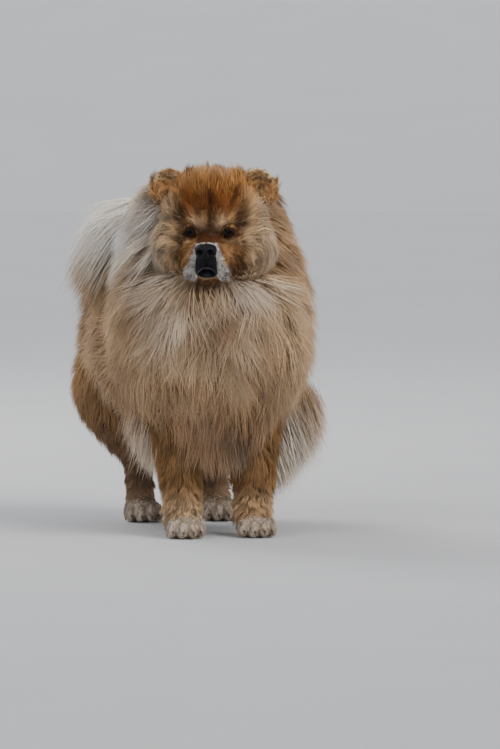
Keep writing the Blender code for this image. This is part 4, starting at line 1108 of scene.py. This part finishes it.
class CHOW_OT_skin(bpy.types.Operator):
    """One skin over the whole body: every form's surface joined by voxels, for all the nodes of flesh."""

    bl_idname = "chow.skin"
    bl_label = "Skin"

    def execute(self, context):
        surfaces = [(trunk_skin, 60, 80), (ruff_skin, 60, 80), (tail_skin, 40, 32), (head_skin, 90, 120)]
        surfaces += [(leg, 50, 40) for leg in foreleg_skins + hindleg_skins] + [(Ear(s, 0.0015), 28, 48) for s in (1, -1)]
        parts = [surface_grid(*row) for row in surfaces]
        for at in PAWS_AT:
            for sign in (1, -1):
                parts += [surface_grid(ball, 14, 22) for ball in paw_balls(at, sign, 0.0025)]
        parts += [surface_grid(ball, 24, 32) for ball in (chin, rump, crown, brisket)]
        points, faces = joined(parts)
        points[:, 2] = np.maximum(points[:, 2], 0.0)
        raw = bpy.data.meshes.new("skin_raw")
        raw.from_pydata(points, [], faces)
        helper = bpy.data.objects.new("skin_raw", raw)
        context.scene.collection.objects.link(helper)
        union = helper.modifiers.new("Union", "REMESH")
        union.mode, union.voxel_size = "VOXEL", SKIN_VOXEL
        soften = helper.modifiers.new("Soften", "SMOOTH")
        soften.factor, soften.iterations = 0.5, 2
        context.view_layer.update()
        made = bpy.data.meshes.new_from_object(helper.evaluated_get(context.evaluated_depsgraph_get()))
        bpy.data.objects.remove(helper)
        bpy.data.meshes.remove(raw)
        co = np.empty(len(made.vertices) * 3, np.float32)
        made.vertices.foreach_get("co", co)
        co = co.reshape(-1, 3).astype(float)
        corners = np.empty(len(made.loops), np.int32)
        made.loops.foreach_get("vertex_index", corners)
        bpy.data.meshes.remove(made)
        flesh = [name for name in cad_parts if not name.startswith(("eye", "nose"))]
        q = to_head(co)
        near_ears = step(0.055, 0.062, q[:, 2]) * step(0.045, 0.035, q[:, 1])
        near = [np.maximum(step(0.010, 0.004, head_depth(q)), near_ears), step(0.24, 0.22, co[:, 2]) * step(0.02, -0.02, co[:, 1])]
        near += [step(0.24, 0.22, co[:, 2]) * step(-0.02, 0.02, co[:, 1]), step(0.04, 0.03, co[:, 2])]
        shade = body_markings_and_shade(co)
        for share, tint in zip(near, (face_markings_and_shade, foreleg_markings, hindleg_markings, paw_markings)):
            shade = mix(shade, tint(co), share)
        # The skin is painted darker, 0.82 of the coat's colour, as painted shade under the coat
        skin = finished("skin", co, corners.reshape(-1, 4), "torso", flesh, 0.82 * shade)
        paint = hair_paint("skin_paint", 300.0, 0.6, {"Roughness": 0.8})
        paint.bump(paint.noise(700.0, 3.0), 0.0012)
        painted(skin, paint)
        return {"FINISHED"}


class CHOW_OT_eyes(bpy.types.Operator):
    """Two glossy brown eyes with round pupils, and dark lids."""

    bl_idname = "chow.eyes"
    bl_label = "Eyes"

    radius: FloatProperty(name="Radius", description="Eyeball", unit="LENGTH", default=EYE_RADIUS)
    wide: FloatProperty(name="Width", description="Half the opening's width", unit="LENGTH", default=0.0076)
    upper: FloatProperty(name="Upper", description="How far the upper lid opens", unit="LENGTH", default=0.0030)
    lower: FloatProperty(name="Lower", description="How far the lower lid opens", unit="LENGTH", default=0.0036)

    def execute(self, context):
        paint = Paint("eye_paint", {"Roughness": 0.06, "Specular IOR Level": 0.08})
        ring = paint.node("ShaderNodeAttribute", {"attribute_name": "coat"}, {}, "Fac")
        stops = (
            (0.0, (0.002, 0.002, 0.002)),
            (0.115, (0.002, 0.002, 0.002)),
            (0.14, (0.022, 0.009, 0.004)),
            (0.26, (0.014, 0.006, 0.003)),
            (0.30, (0.003, 0.002, 0.002)),
            (0.42, (0.008, 0.005, 0.004)),
        )
        paint.feed("Base Color", paint.node("ShaderNodeValToRGB", {"stops": stops}, {"Fac": ring}, "Color"))
        tones = context.scene.chow_colours
        rim = hair_paint("lid_paint", 900.0, 0.7, {"Roughness": 0.6, "Specular IOR Level": 0.2})
        for side, sign in (("left", 1), ("right", -1)):
            centre = EYE_AT * (sign, 1, 1)
            points, faces = surface_grid(Ball(centre, (self.radius,) * 3), 40, 48)
            gaze = unit(np.array((0.06 * sign, -1.0, -0.02)))
            angle = np.arccos(np.clip(unit(points - centre) @ gaze, -1, 1)) / np.pi
            points = points + unit(points - centre) * (0.0006 * step(0.20, 0.10, angle))[:, None]
            colours = np.repeat(angle[:, None], 3, 1)
            eye = finished(f"eyeball_{side}", to_world(points), faces, f"eye_{side}", (f"eye_{side}",), colours)
            painted(eye, paint)
            points, faces, beyond = self.lids(centre, sign, gaze)
            # Black at the lids' rims, then umber farther out, partly painted shade round the eye
            shade = mix(np.full((len(points), 3), 0.003), np.array(tones.umber), step(0.06, 0.16, beyond))
            painted(finished(f"lids_{side}", to_world(points), faces, f"eye_{side}", (), shade), rim)
        return {"FINISHED"}

    def lids(self, centre, sign, gaze):
        """Both lids of an eye: a shell over the eyeball with an almond opening, higher at its outer end.

        The opening's edge lies at (|cos|/wide)^1.4 + (|sin|/high)^1.4 = 1 round the gaze. Gives the points, the
        triangles, and how far each point lies beyond the edge as a share of the lid.
        """
        turn = 2 * np.pi * np.arange(64)[None, :] / 64
        c, s = np.cos(turn), np.sin(turn)
        high = np.where(s > 0, self.upper, self.lower)
        edge = ((np.abs(c) / self.wide) ** 1.4 + (np.abs(s) / high) ** 1.4) ** (-1 / 1.4)
        start = np.arcsin(np.clip(edge / self.radius, 0, 0.95))
        under = np.linspace(1, 0, 10)[:, None]
        over = np.linspace(0, 1, 22)[:, None] ** 1.4
        polar = start + (1.9 - start) * np.concatenate([under, over])
        below = np.full((10, 1), self.radius - 0.0008)
        above = self.radius + 0.0004 + 0.0014 * step(0, 0.10, over)
        reach = np.concatenate([below, above])
        side = unit(np.cross(gaze, (math.sin(math.radians(20) * sign), 0, 1.0)))
        up = np.cross(side, gaze)
        out = np.cos(polar)[..., None] * gaze + np.sin(polar)[..., None] * (c[..., None] * side + s[..., None] * up)
        beyond = np.concatenate([np.repeat(np.concatenate([0 * under, over]), 64), [0, 1]])
        return *closed_grid(centre + out * reach[..., None]), beyond


class CHOW_OT_nose(bpy.types.Operator):
    """The nose leather with its nostrils, and the dark leather between the upper lips with the line of the mouth."""

    bl_idname = "chow.nose"
    bl_label = "Nose and lips"

    def execute(self, context):
        black = tuple(context.scene.chow_colours.black)
        paint = leather_paint("nose_leather", black, 520.0, 0.0009, {"Roughness": 0.42, "Specular IOR Level": 0.20})
        u = (np.arange(90) + 0.5) / 90
        v = 2 * np.pi * np.arange(128) / 128
        disc = np.sin(np.pi * u)[:, None] ** 0.62
        c, s = np.cos(v)[None, :], np.sin(v)[None, :]
        power = 2 / 2.7
        z = disc * np.sign(s) * np.abs(s) ** power
        x = disc * np.sign(c) * np.abs(c) ** power * (1 + 0.16 * z)
        y = np.broadcast_to(-np.cos(np.pi * u)[:, None], x.shape)
        p = np.stack([x, y, z], -1) * NOSE_SIZE
        side, front = np.abs(p[..., 0]), step(0.0, -0.006, p[..., 1])
        hole = np.exp(-((((side - 0.0092) / 0.0046) ** 2 + ((p[..., 2] - 0.0004) / 0.0040) ** 2) ** 2))
        slit = np.exp(-((((side - 0.0150) / 0.0056) ** 2 + ((p[..., 2] + 0.0030) / 0.0019) ** 2) ** 2))
        groove = np.exp(-((p[..., 0] / 0.0010) ** 2)) * step(0.006, -0.002, p[..., 2])
        p[..., 1] += front * (0.0075 * np.maximum(hole, 0.75 * slit) + 0.0016 * groove)
        points, faces = closed_grid(p + NOSE_AT)
        painted(finished("nose_leather", to_world(points), faces, "nose", ("nose",)), paint)
        points, faces, shade = self.lips()
        lips = Paint("lip_paint", {"Roughness": 0.48, "Specular IOR Level": 0.18})
        tone = lips.node("ShaderNodeAttribute", {"attribute_name": "coat"}, {}, "Color")
        lips.feed("Base Color", lips.multiplied(tone, grey(lips, lips.noise(300.0) * 0.6 + 0.7)))
        lips.bump(lips.cells(700.0), 0.0005)
        painted(finished("lip_leather", points, faces, "nose", (), shade), lips)
        return {"FINISHED"}

    def lips(self):
        """A leather patch on the muzzle's front: a flattened disc laid on the face, grooved along the mouth's arch.

        Gives points, triangles and colours: black, with grey e^-((z - arch) / width)^2 along the upper lips' edge as a
        painted highlight on its rim.
        """
        r = np.concatenate([np.linspace(0.02, 1, 46), np.linspace(0.97, 0.02, 20)])[:, None]
        v = 2 * np.pi * np.arange(120)[None, :] / 120
        c, s = np.cos(v), np.sin(v)
        top, foot = NOSE_AT[2] + 0.002, LIP_FOOT
        z = (top + foot) / 2 + (top - foot) / 2 * r * np.sign(s) * np.abs(s) ** 0.55
        x = (LIP_WIDTH + 0.0010) * r * np.sign(c) * np.abs(c) ** 0.55 * (1 - 0.10 * np.sign(s) * np.abs(s))
        ahead = np.broadcast_to(np.array((0.0, -1.0, 0.0)), (*x.shape, 3))
        start = np.stack([x, np.full_like(x, -0.06), z], -1)

        def within(shift):
            return np.minimum(head_depth(start + shift), chin_depth(start + shift)) < -0.001

        y = -0.06 - reach_of(within, ahead, 0.11, 50)
        arch = MOUTH[2] + 0.0005 + MOUTH[5] * np.sqrt(np.clip(1 - (x / (MOUTH[3] + 0.001)) ** 2, 0, 1))
        line = np.exp(-(((z - arch) / 0.0013) ** 2)) * 0.0040
        rim = np.exp(-(((z - arch - 0.0026) / 0.0014) ** 2)) * 0.0016
        split = np.exp(-((x / 0.0009) ** 2)) * step(MOUTH[2] + MOUTH[5] - 0.004, MOUTH[2] + MOUTH[5] + 0.002, z) * 0.002
        front = np.arange(len(r))[:, None] < 46
        y = np.where(front, y - 0.0012 * (1 - r**6) + line - rim + split, y + 0.006 * (1 - r))
        tones = bpy.context.scene.chow_colours
        points, faces = closed_grid(np.stack([x, y, z], -1))
        # Painted highlight: a paler line along the rim of the upper lips
        pale = np.exp(-(((z - arch - 0.0022) / 0.0010) ** 2)) * front * step(1.0, 0.8, r)
        pale = np.concatenate([pale.ravel(), [0, 0]])
        return to_world(points), faces, mix(np.broadcast_to(4.0 * np.array(tones.black), points.shape), tones.grey, 0.25 * pale)


def chin_depth(p):
    """How far places lie outside the chin."""
    return (np.linalg.norm((p - CHIN[:3]) / CHIN[3:], axis=-1) - 1) * min(CHIN[3:])


class CHOW_OT_claws(bpy.types.Operator):
    """Short dark claws that curve down at the ends of the toes."""

    bl_idname = "chow.claws"
    bl_label = "Claws"

    length: FloatProperty(name="Length", description="Length of a claw", unit="LENGTH", default=0.011)
    radius: FloatProperty(name="Radius", description="Half a claw's width at its root", unit="LENGTH", default=0.0026)

    def execute(self, context):
        paint = Paint("claw_horn", {"Roughness": 0.35})
        stops = ((0.3, (0.05, 0.035, 0.028)), (0.7, (0.16, 0.12, 0.09)))
        paint.feed("Base Color", paint.node("ShaderNodeValToRGB", {"stops": stops}, {"Fac": paint.noise(220.0)}, "Color"))
        for paws, at in zip(("fore", "hind"), PAWS_AT):
            for side, sign in (("left", 1), ("right", -1)):
                parts = []
                for dx, dy in TOE_PLACES:
                    s = np.linspace(0, 1, 14)
                    x = np.full_like(s, sign * at[0] + ORIGIN[0] + dx)
                    y = at[1] + ORIGIN[1] + dy - TOE[1] * 0.86 - self.length * np.sin(1.1 * s)
                    z = 0.0125 - self.length * 0.75 * s**1.8
                    radius = self.radius * np.sqrt(np.clip(1 - s**2.2, 0.01, 1))
                    parts.append(tube(np.stack([x, y, z], 1), radius, 12))
                points, faces = joined(parts)
                painted(finished(f"claws_{paws}_{side}", points, faces, f"{paws}paw_{side}"), paint)
        return {"FINISHED"}


class CHOW_OT_body_coat(bpy.types.Operator):
    """The long coat of the neck's ruff, the trunk and the thighs."""

    bl_idname = "chow.body_coat"
    bl_label = "Body coat"

    def execute(self, context):
        coat = context.scene.chow_coat
        paint = hair_paint("long_hair", 240.0, 0.8, HAIR)
        face = head_skin.inside

        def on_ruff(p):
            return ~(trunk_skin.inside(p) | face(p))

        def on_trunk(p):
            b = p - ORIGIN
            under_tail = (np.abs(b[:, 0]) < 0.03) & (b[:, 2] > 0.47) & (b[:, 1] > 0.19)
            hidden = ruff_skin.inside(p) | hindleg_skins[0].inside(p) | hindleg_skins[1].inside(p)
            return ~(under_tail | hidden)

        def ruff_length(p):
            """Shorter at the top of the neck and at the apron's foot."""
            z = p[:, 2]
            return coat.ruff * (0.62 + 0.38 * step(0.66, 0.54, z)) * (0.60 + 0.40 * step(0.15, 0.26, z))

        def in_front(p):
            """Denser where the ruff shows in front and at the sides."""
            return 1 - 0.45 * step(-0.10, 0.02, p[:, 1] - ORIGIN[1])

        def ruff_rise(p):
            return 0.040 * (0.55 + 0.45 * step(0.66, 0.56, p[:, 2]))

        def trunk_length(p):
            """Shorter over the rump, where the hair would fly off the body's end."""
            return coat.trunk * (1 - 0.62 * step(0.14, 0.27, p[:, 1]))

        def trunk_rise(p):
            return 0.034 * (1 - 0.45 * step(0.20, 0.30, p[:, 1]))

        grow("ruff_coat", ruff_skin, 62000, ruff_lie, ruff_length, ruff_rise, 0.0013, 4, "neck_ruff", paint,
             clump=0.024, pull=0.55, levels=2, keep=on_ruff, density=in_front, pieces=3,
             shade=(0.74, 1.16, 0.12), wild=0.34, wave=0.0036)
        grow("crown_coat", crown, 1400, ruff_lie, 0.040, 0.020, 0.0015, 5, "neck_ruff", paint,
             clump=0.016, levels=2, keep=lambda p: ~face(p), shade=(0.8, 1.06, 0.2))
        grow("brisket_coat", brisket, 1800, apron_lie, 0.042, 0.020, 0.0015, 6, "neck_ruff", paint,
             clump=0.018, levels=2, keep=lambda p: p[:, 2] < 0.20, shade=(0.75, 1.02, 0.2))
        grow("trunk_coat", trunk_skin, 22500, trunk_lie, trunk_length, trunk_rise, 0.0017, 8, "torso", paint,
             clump=0.024, pull=0.55, levels=2, keep=on_trunk, pieces=2, shade=(0.74, 1.14, 0.15), wild=0.30,
             wave=0.004)
        grow("rump_coat", rump, 2600, apron_lie, 0.034, 0.012, 0.0017, 9, "torso", paint,
             clump=0.018, levels=2, shade=(0.78, 1.06, 0.15))
        for side, sign, leg in (("left", 1, hindleg_skins[0]), ("right", -1, hindleg_skins[1])):

            def on_thigh(p):
                return ~trunk_skin.inside(p) & (p[:, 2] > 0.035)

            def thigh_length(p):
                return 0.014 + (coat.thigh - 0.014) * step(0.10, 0.19, p[:, 2])

            def thigh_rise(p):
                return 0.005 + 0.017 * step(0.10, 0.20, p[:, 2])

            grow(f"hindleg_coat_{side}", leg, 10000, thigh_lie, thigh_length, thigh_rise, 0.0016, 17 + sign,
                 f"hindleg_{side}", paint, hindleg_markings, clump=0.018, levels=2, keep=on_thigh,
                 shade=(0.78, 1.08, 0.05), wild=0.26, wave=0.003)
        return {"FINISHED"}


class CHOW_OT_tail_coat(bpy.types.Operator):
    """The tail's plume, which falls mostly to the dog's right."""

    bl_idname = "chow.tail_coat"
    bl_label = "Tail plume"

    def execute(self, context):
        paint = hair_paint("plume_hair", 240.0, 0.8, HAIR)
        chance = np.random.default_rng(9)
        count = int(12000 * context.scene.chow_coat.density)
        u = chance.uniform(0.05, 0.97, count)
        # The fan: from the crest over to the right side, with a few hairs to the left
        left = chance.random(count) < 0.20
        fan = np.where(left, chance.uniform(0.6, 1.0, count), chance.beta(1.2, 1.2, count))
        heading = np.stack(
            [
                np.where(left, 0.60, -0.92),
                np.where(left, 0.25, 0.10 + 0.15 * fan),
                np.where(left, 0.10, 0.10 - 0.56 * fan),
            ],
            1,
        )
        clump = (u * 26).astype(int) * 8 + (fan * 8).astype(int) + 300 * left
        shared = np.random.default_rng(90).normal(size=(4, 700))[:, clump % 700]
        heading += (0.08 * chance.normal(size=(count, 3)) + 0.12 * shared[:3].T) * (1, 1, 0.7)
        heading[:, 1] += -0.35 + 0.5 * (1 - u)
        long = np.where(left, 0.095, 0.150 + 0.060 * fan) * np.clip(1 + 0.08 * chance.normal(size=count), 0.6, 1.10)
        fall = np.where(left, 1.6, 1.5 + 0.5 * fan) * (1 + 0.10 * shared[3])
        start = tail_skin.frame(u)[0]
        start = start + unit(heading) * 0.012 + 0.008 * chance.normal(size=(count, 3)) - (0, 0, 0.006)
        # The way the strands face, so that the fan is lit as one soft mass
        outward = np.stack([np.where(left, 0.4, -0.4), np.interp(u, (0.05, 0.4, 0.9), (0.8, 0, -0.9)), 1.0 - 0.5 * fan], 1)
        path, facing = hang(start, heading, long, fall, 3, outward)
        path[..., 2] = np.maximum(path[..., 2], 0.01)
        colours = coloured(tail_markings(start), 3, 0.5 * shared[3] + 0.6 * chance.normal(size=count), 1.0, 1.12, 0.3)
        low = step(0.25, 0.9, fan)[:, None] * np.linspace(0.3, 1, 4) * ~left[:, None]
        colours = mix(np.clip(colours * 1.22, 0, 1), context.scene.chow_colours.cream, 0.95 * low)
        colours = mix(colours, context.scene.chow_colours.tan, 0.6 * step(0.55, 1.0, fan)[:, None] * ~left[:, None])
        place = np.stack([fan * 0.8 + 0.19 * left, u], 1)
        width = 0.0019 * np.clip(1 + 0.25 * chance.normal(size=count), 0.5, 1.5)
        strands("plume_coat", path, facing, width, colours, place, "tail", paint, 2, lean=1.2)
        grow("tail_coat", tail_skin, 2600, lambda p: np.broadcast_to((-0.7, -0.6, -0.1), p.shape), 0.045, 0.012,
             0.0024, 29, "tail", paint, tail_markings, clump=0.015, shade=(0.85, 1.08, 0.2))
        return {"FINISHED"}


class CHOW_OT_leg_coat(bpy.types.Operator):
    """The forelegs' dense coat, the feathers behind their elbows, and the paws' short coat."""

    bl_idname = "chow.leg_coat"
    bl_label = "Legs and paws"

    def execute(self, context):
        coat = context.scene.chow_coat
        paint = hair_paint("leg_hair", 300.0, 0.8, HAIR)
        for side, sign, leg in (("left", 1, foreleg_skins[0]), ("right", -1, foreleg_skins[1])):

            def leg_length(p):
                return 0.014 + (coat.leg - 0.014) * step(0.05, 0.16, p[:, 2])

            grow(f"foreleg_coat_{side}", leg, 9500, leg_lie, leg_length, 0.0105, 0.0016, 31 + sign,
                 f"foreleg_{side}", paint, foreleg_markings, clump=0.011, levels=2, shade=(0.78, 1.10, 0.03),
                 keep=lambda p: ~ruff_skin.inside(p))
            self.feathers(side, sign, paint, coat)
        for paws, at in zip(("fore", "hind"), PAWS_AT):
            for side, sign in (("left", 1), ("right", -1)):
                balls = paw_balls(at, sign, 0.0025)
                for number, ball in enumerate(balls):
                    others = [other for other in balls if other is not ball]

                    def shown(p, others=others):
                        return ~np.any([other.inside(p) for other in others], 0) & (p[:, 2] > 0.003)

                    grow(f"paw_coat_{paws}_{side}_{number}", ball, 900 if number == 0 else 420, paw_lie,
                         coat.paw, 0.0035, 0.0013, 41 + number, f"{paws}paw_{side}", paint, paw_markings,
                         clump=0.006, levels=2, keep=shown, shade=(0.66, 0.98, 0.12), wave=0.0004)
        return {"FINISHED"}

    def feathers(self, side, sign, paint, coat):
        """Long soft hair that falls outward from the flank behind one elbow, its upper strands rooted farther out."""
        chance = np.random.default_rng(53 + sign)
        # Count; where the roots start and how far they spread, outward and upward; the lowest strands' slant and length
        count, x, wide, z, high, slant, long = {1: (5200, 0.085, 0.080, 0.190, 0.085, 0.34, 0.135),
                                                -1: (2800, 0.084, 0.040, 0.195, 0.050, 0.12, 0.096)}[sign]
        count = int(count * coat.density)
        share = chance.random(count)
        start = np.stack([sign * (x + wide * share), np.full(count, -0.118), z + high * share], 1)
        start = start + ORIGIN + chance.normal(size=(count, 3)) * (0.010, 0.024, 0.008)
        clump = (share * 24).astype(int) * 4 + (chance.random(count) * 4).astype(int)
        shared = np.random.default_rng(54).normal(size=(4, 100))[:, clump]
        out = slant * (1 + 0.25 * share) + 0.10 * shared[0] + 0.07 * chance.normal(size=count)
        heading = np.stack([sign * out, 0.22 + 0.10 * shared[1] + 0.06 * chance.normal(size=count), -1 + 0 * out], 1)
        long = (long - 0.025 * share) * np.clip(1 + 0.1 * shared[2] + 0.08 * chance.normal(size=count), 0.6, 1.1)
        outward = np.stack([sign * np.ones(count), np.full(count, -0.6), np.full(count, 0.4)], 1)
        path, facing = hang(start, heading, long, np.full(count, 0.3), 2, outward)
        tones = bpy.context.scene.chow_colours
        # Paler on the dog's left: partly painted light, lifting that feather's shade
        pale = 0.40 if sign > 0 else 0.15
        base = mix(mix(np.broadcast_to(tones.cream, start.shape), tones.pale, pale), tones.gold, 0.8 * step(0.5, 0.9, share))
        colours = coloured(base, 2, 0.9 * shared[3] + 0.4 * chance.normal(size=count), 0.88, 1.18, 0.35)
        place = np.stack([chance.random(count), share], 1)
        strands(f"feathers_{side}", path, facing, np.full(count, 0.0014), colours, place, f"foreleg_{side}", paint)


class CHOW_OT_head_coat(bpy.types.Operator):
    """The face's coat, shortest on the muzzle, and the coat of the ears and the chin."""

    bl_idname = "chow.head_coat"
    bl_label = "Head coat"

    def execute(self, context):
        coat = context.scene.chow_coat
        paint = hair_paint("face_hair", 500.0, 0.8, HAIR)

        def close(p):
            """Finer on the muzzle and round the eyes."""
            q = to_head(p)
            return (1 + 2.2 * step(0.09, 0.04, np.linalg.norm(q - (0, -0.11, -0.02), axis=1))) * (q[:, 1] < 0.07)

        def fine(p):
            q = to_head(p)
            return 0.0010 + 0.0009 * step(0.05, 0.13, np.linalg.norm(q - (0, -0.12, -0.03), axis=1))

        grow("head_coat", head_skin, 29000, head_lie, face_length, face_rise, fine, 61, "head", paint, face_markings_and_shade,
             clump=0.011, pull=0.35, levels=2, keep=off_face_parts, density=close, pieces=2,
             shade=(0.78, 1.12, 0.015), wave=0.0006)

        def on_jowl(p):
            """The cheeks and the sides of the head behind the eyes, whose long hair flows into the ruff."""
            q = to_head(p)
            side = step(0.050, 0.072, np.abs(q[:, 0])) * step(0.075, 0.045, q[:, 2])
            under = step(-0.055, -0.072, q[:, 2]) * step(0.030, 0.040, np.abs(q[:, 0]) + 2 * np.maximum(q[:, 1] + 0.06, 0))
            return np.maximum(side, under) * step(-0.066, -0.040, q[:, 1])

        def jowl_lie(p):
            """Outward beside the eyes, and down and forward over the edge of the ruff below the cheeks."""
            q = to_head(p)
            side, down = step(0.02, 0.06, np.abs(q[:, 0])), step(0.0, -0.06, q[:, 2])
            out = [np.sign(q[:, 0]) * side * (1 - 0.55 * down), 0.35 - 0.50 * down, -0.15 - 0.9 * down + 4 * np.maximum(q[:, 2], 0)]
            return np.stack(out, 1) @ HEAD_ROTATION.T

        grow("jowl_coat", head_skin, 20000, jowl_lie, 0.056, 0.021, 0.0012, 66, "head", paint, face_markings_and_shade,
             clump=0.016, pull=0.5, levels=2, keep=on_jowl, shade=(0.96, 1.16, 0.20), wild=0.32, wave=0.0016)
        for side, sign, ear in (("left", 1, ears[0]), ("right", -1, ears[1])):

            def ear_lie(p, sign=sign):
                """Up, and outward towards the tip."""
                tip = step(0.015, 0.040, on_ear(p, sign)[:, 2])
                return np.stack([sign * (0.25 + 0.75 * tip), 0.1 + 0 * tip, 1 - 0.6 * tip], 1) @ HEAD_ROTATION.T

            def ear_length(p, sign=sign):
                """Shorter towards the ear's tip."""
                return coat.ear * (1 - 0.45 * step(0.002, 0.034, on_ear(p, sign)[:, 2]))

            # Painted light: the ear's coat is brightened 1.3 to 1.75 times, lifting the shade in the ear's cup
            grow(f"ear_coat_{side}", ear, 6000, ear_lie, ear_length, 0.0046, 0.0012, 71, f"ear_{side}", paint,
                 face_markings_and_shade, clump=0.008, levels=2, shade=(1.3, 1.75, 0.12), wave=0.0005)

            def in_cup(p, sign=sign):
                """The low front and outer side of the ear, whose hair hides its hollow and its foot."""
                q = on_ear(p, sign)
                return (q[:, 1] < 0.013) & (q[:, 2] < 0.016)

            # Painted light: the tufts are brightened 1.2 to 1.6 times, lifting the shade at the ear's foot
            grow(f"ear_tuft_{side}", ear, 3000, ear_lie, 0.024, 0.016, 0.0012, 73, f"ear_{side}", paint,
                 face_markings_and_shade, clump=0.009, levels=2, keep=in_cup, shade=(1.2, 1.6, 0.10), wave=0.001)
            lid = HeadBall(EYE_AT * (sign, 1, 1), np.full(3, EYE_RADIUS + 0.0026))

            def on_lid(p):
                q = to_head(p)
                opening = ((np.abs(q[:, 0]) - EYE_AT[0]) / 0.0072) ** 2 + (q[:, 2] / 0.0038) ** 2
                return (opening > 1) & (q[:, 1] < EYE_AT[1])

            def lid_lie(p, sign=sign):
                q = to_head(p) - EYE_AT * (sign, 1, 1)
                return unit(q * (1, 0, 1) + (0.002 * sign, 0, 0)) @ HEAD_ROTATION.T

            grow(f"lid_coat_{side}", lid, 1500, lid_lie, 0.0065, 0.0026, 0.0009, 75, f"eye_{side}", paint,
                 lid_shade_and_markings, clump=0.004, levels=2, keep=on_lid, shade=(0.8, 1.1, 0.0), wave=0.0003)
        grow("chin_coat", chin, 3000, lambda p: np.broadcast_to(np.array((0, 0.5, -0.7)) @ HEAD_ROTATION.T, p.shape),
             0.009, 0.0035, 0.0012, 81, "lower_jaw", paint, chin_shade_and_markings, clump=0.006, levels=2,
             keep=off_face_parts, shade=(0.75, 1.08, 0.02), wave=0.0005)
        return {"FINISHED"}


HAIR = {"Roughness": 0.75, "Specular IOR Level": 0.10}


class CHOW_OT_stage(bpy.types.Operator):
    """A pale floor, soft studio light and the camera."""

    bl_idname = "chow.stage"
    bl_label = "Stage"

    def execute(self, context):
        stage = context.scene.chow_stage
        paint = Paint("floor_paint", {"Roughness": 0.9})
        stops = ((0.3, (0.62, 0.62, 0.63)), (0.7, (0.64, 0.64, 0.645)))
        paint.feed("Base Color", paint.node("ShaderNodeValToRGB", {"stops": stops}, {"Fac": paint.noise(3.0)}, "Color"))
        self.backdrop(paint)
        a, e = stage.azimuth, stage.elevation
        back = np.array((math.sin(a) * math.cos(e), -math.cos(a) * math.cos(e), math.sin(e)))
        aim = np.array((math.cos(a), math.sin(a), 0.0)) * stage.aside + np.array((0, 0, stage.height))
        camera = bpy.data.objects.new("camera", bpy.data.cameras.new("camera"))
        camera.data.lens = stage.lens
        camera.data.clip_end = 200.0
        camera.location = aim + back * stage.distance
        camera.rotation_euler = (math.pi / 2 - e, 0, a)
        context.scene.collection.objects.link(camera)
        context.scene.camera = camera
        rows = (
            ("key", "SUN", (2.6, -3.4, 3.6), 0.7, 2.1, (1.0, 0.975, 0.94)),
            ("fill", "SUN", (-3.2, -2.8, 2.0), 0.9, 1.0, (0.95, 0.97, 1.0)),
            ("rim", "AREA", (-1.6, 3.2, 3.2), 2.0, 90.0, (1.0, 1.0, 1.0)),
        )
        for name, kind, place, size, power, colour in rows:
            lamp = bpy.data.lights.new(name, kind)
            lamp.energy, lamp.color = power * stage.light, colour
            setattr(lamp, "angle" if kind == "SUN" else "size", size)
            thing = bpy.data.objects.new(name, lamp)
            towards = unit(np.array((0, 0, 0.33)) - place)
            thing.location = place
            thing.rotation_euler = (math.acos(-towards[2]), 0, math.atan2(towards[0], -towards[1]) + math.pi)
            context.scene.collection.objects.link(thing)
        world = bpy.data.worlds.new("studio")
        world.use_nodes = True
        world.node_tree.nodes["Background"].inputs["Color"].default_value = (0.86, 0.90, 0.96, 1)
        world.node_tree.nodes["Background"].inputs["Strength"].default_value = 0.55 * stage.light
        context.scene.world = world
        return {"FINISHED"}

    def backdrop(self, paint):
        """A wide floor that rises softly towards its edge: 8 s^3 high at 3 + 49 s from the middle, s from 0 to 1."""
        s = np.linspace(0, 1, 60)
        reach = np.concatenate([[0.5, 1.5], 3 + 49 * s, [52.1, 12.0]])
        height = np.concatenate([[0, 0], 8 * s**3, [8.0, -0.1]]) - 0.0005
        turn = 2 * np.pi * np.arange(128) / 128
        rings = reach[:, None, None] * np.stack([np.cos(turn), np.sin(turn), 0 * turn], 1)[None]
        points, faces = closed_grid(rings + height[:, None, None] * np.array((0, 0, 1.0)))
        mesh = bpy.data.meshes.new("floor")
        mesh.from_pydata(points, [], faces)
        mesh.materials.append(paint.material)
        mesh.shade_smooth()
        floor = bpy.data.objects.new("floor", mesh)
        bpy.context.scene.collection.objects.link(floor)


class CHOW_PT_panel(bpy.types.Panel):
    """The chow's sizes, colours and pieces."""

    bl_idname = "CHOW_PT_panel"
    bl_label = "Chow Chow"
    bl_space_type = "VIEW_3D"
    bl_region_type = "UI"
    bl_category = "Chow"

    def draw(self, context):
        for group in (context.scene.chow_colours, context.scene.chow_coat, context.scene.chow_stage):
            box = self.layout.box()
            for name in group.__annotations__:
                box.prop(group, name)
        for operator in OPERATORS:
            self.layout.operator(operator.bl_idname)


GROUPS = {"chow_colours": ChowColours, "chow_coat": ChowCoat, "chow_stage": ChowStage}
OPERATORS = (
    CHOW_OT_skin,
    CHOW_OT_eyes,
    CHOW_OT_nose,
    CHOW_OT_claws,
    CHOW_OT_head_coat,
    CHOW_OT_body_coat,
    CHOW_OT_leg_coat,
    CHOW_OT_tail_coat,
    CHOW_OT_stage,
)


def register():
    for thing in (*GROUPS.values(), *OPERATORS, CHOW_PT_panel):
        bpy.utils.register_class(thing)
    for name, group in GROUPS.items():
        setattr(bpy.types.Scene, name, PointerProperty(type=group))


def unregister():
    for name in GROUPS:
        delattr(bpy.types.Scene, name)
    for thing in reversed((*GROUPS.values(), *OPERATORS, CHOW_PT_panel)):
        bpy.utils.unregister_class(thing)


def main():
    """Makes every piece."""
    register()
    for operator in OPERATORS:
        group, name = operator.bl_idname.split(".")
        getattr(getattr(bpy.ops, group), name)()


if __name__ == "__main__":
    main()
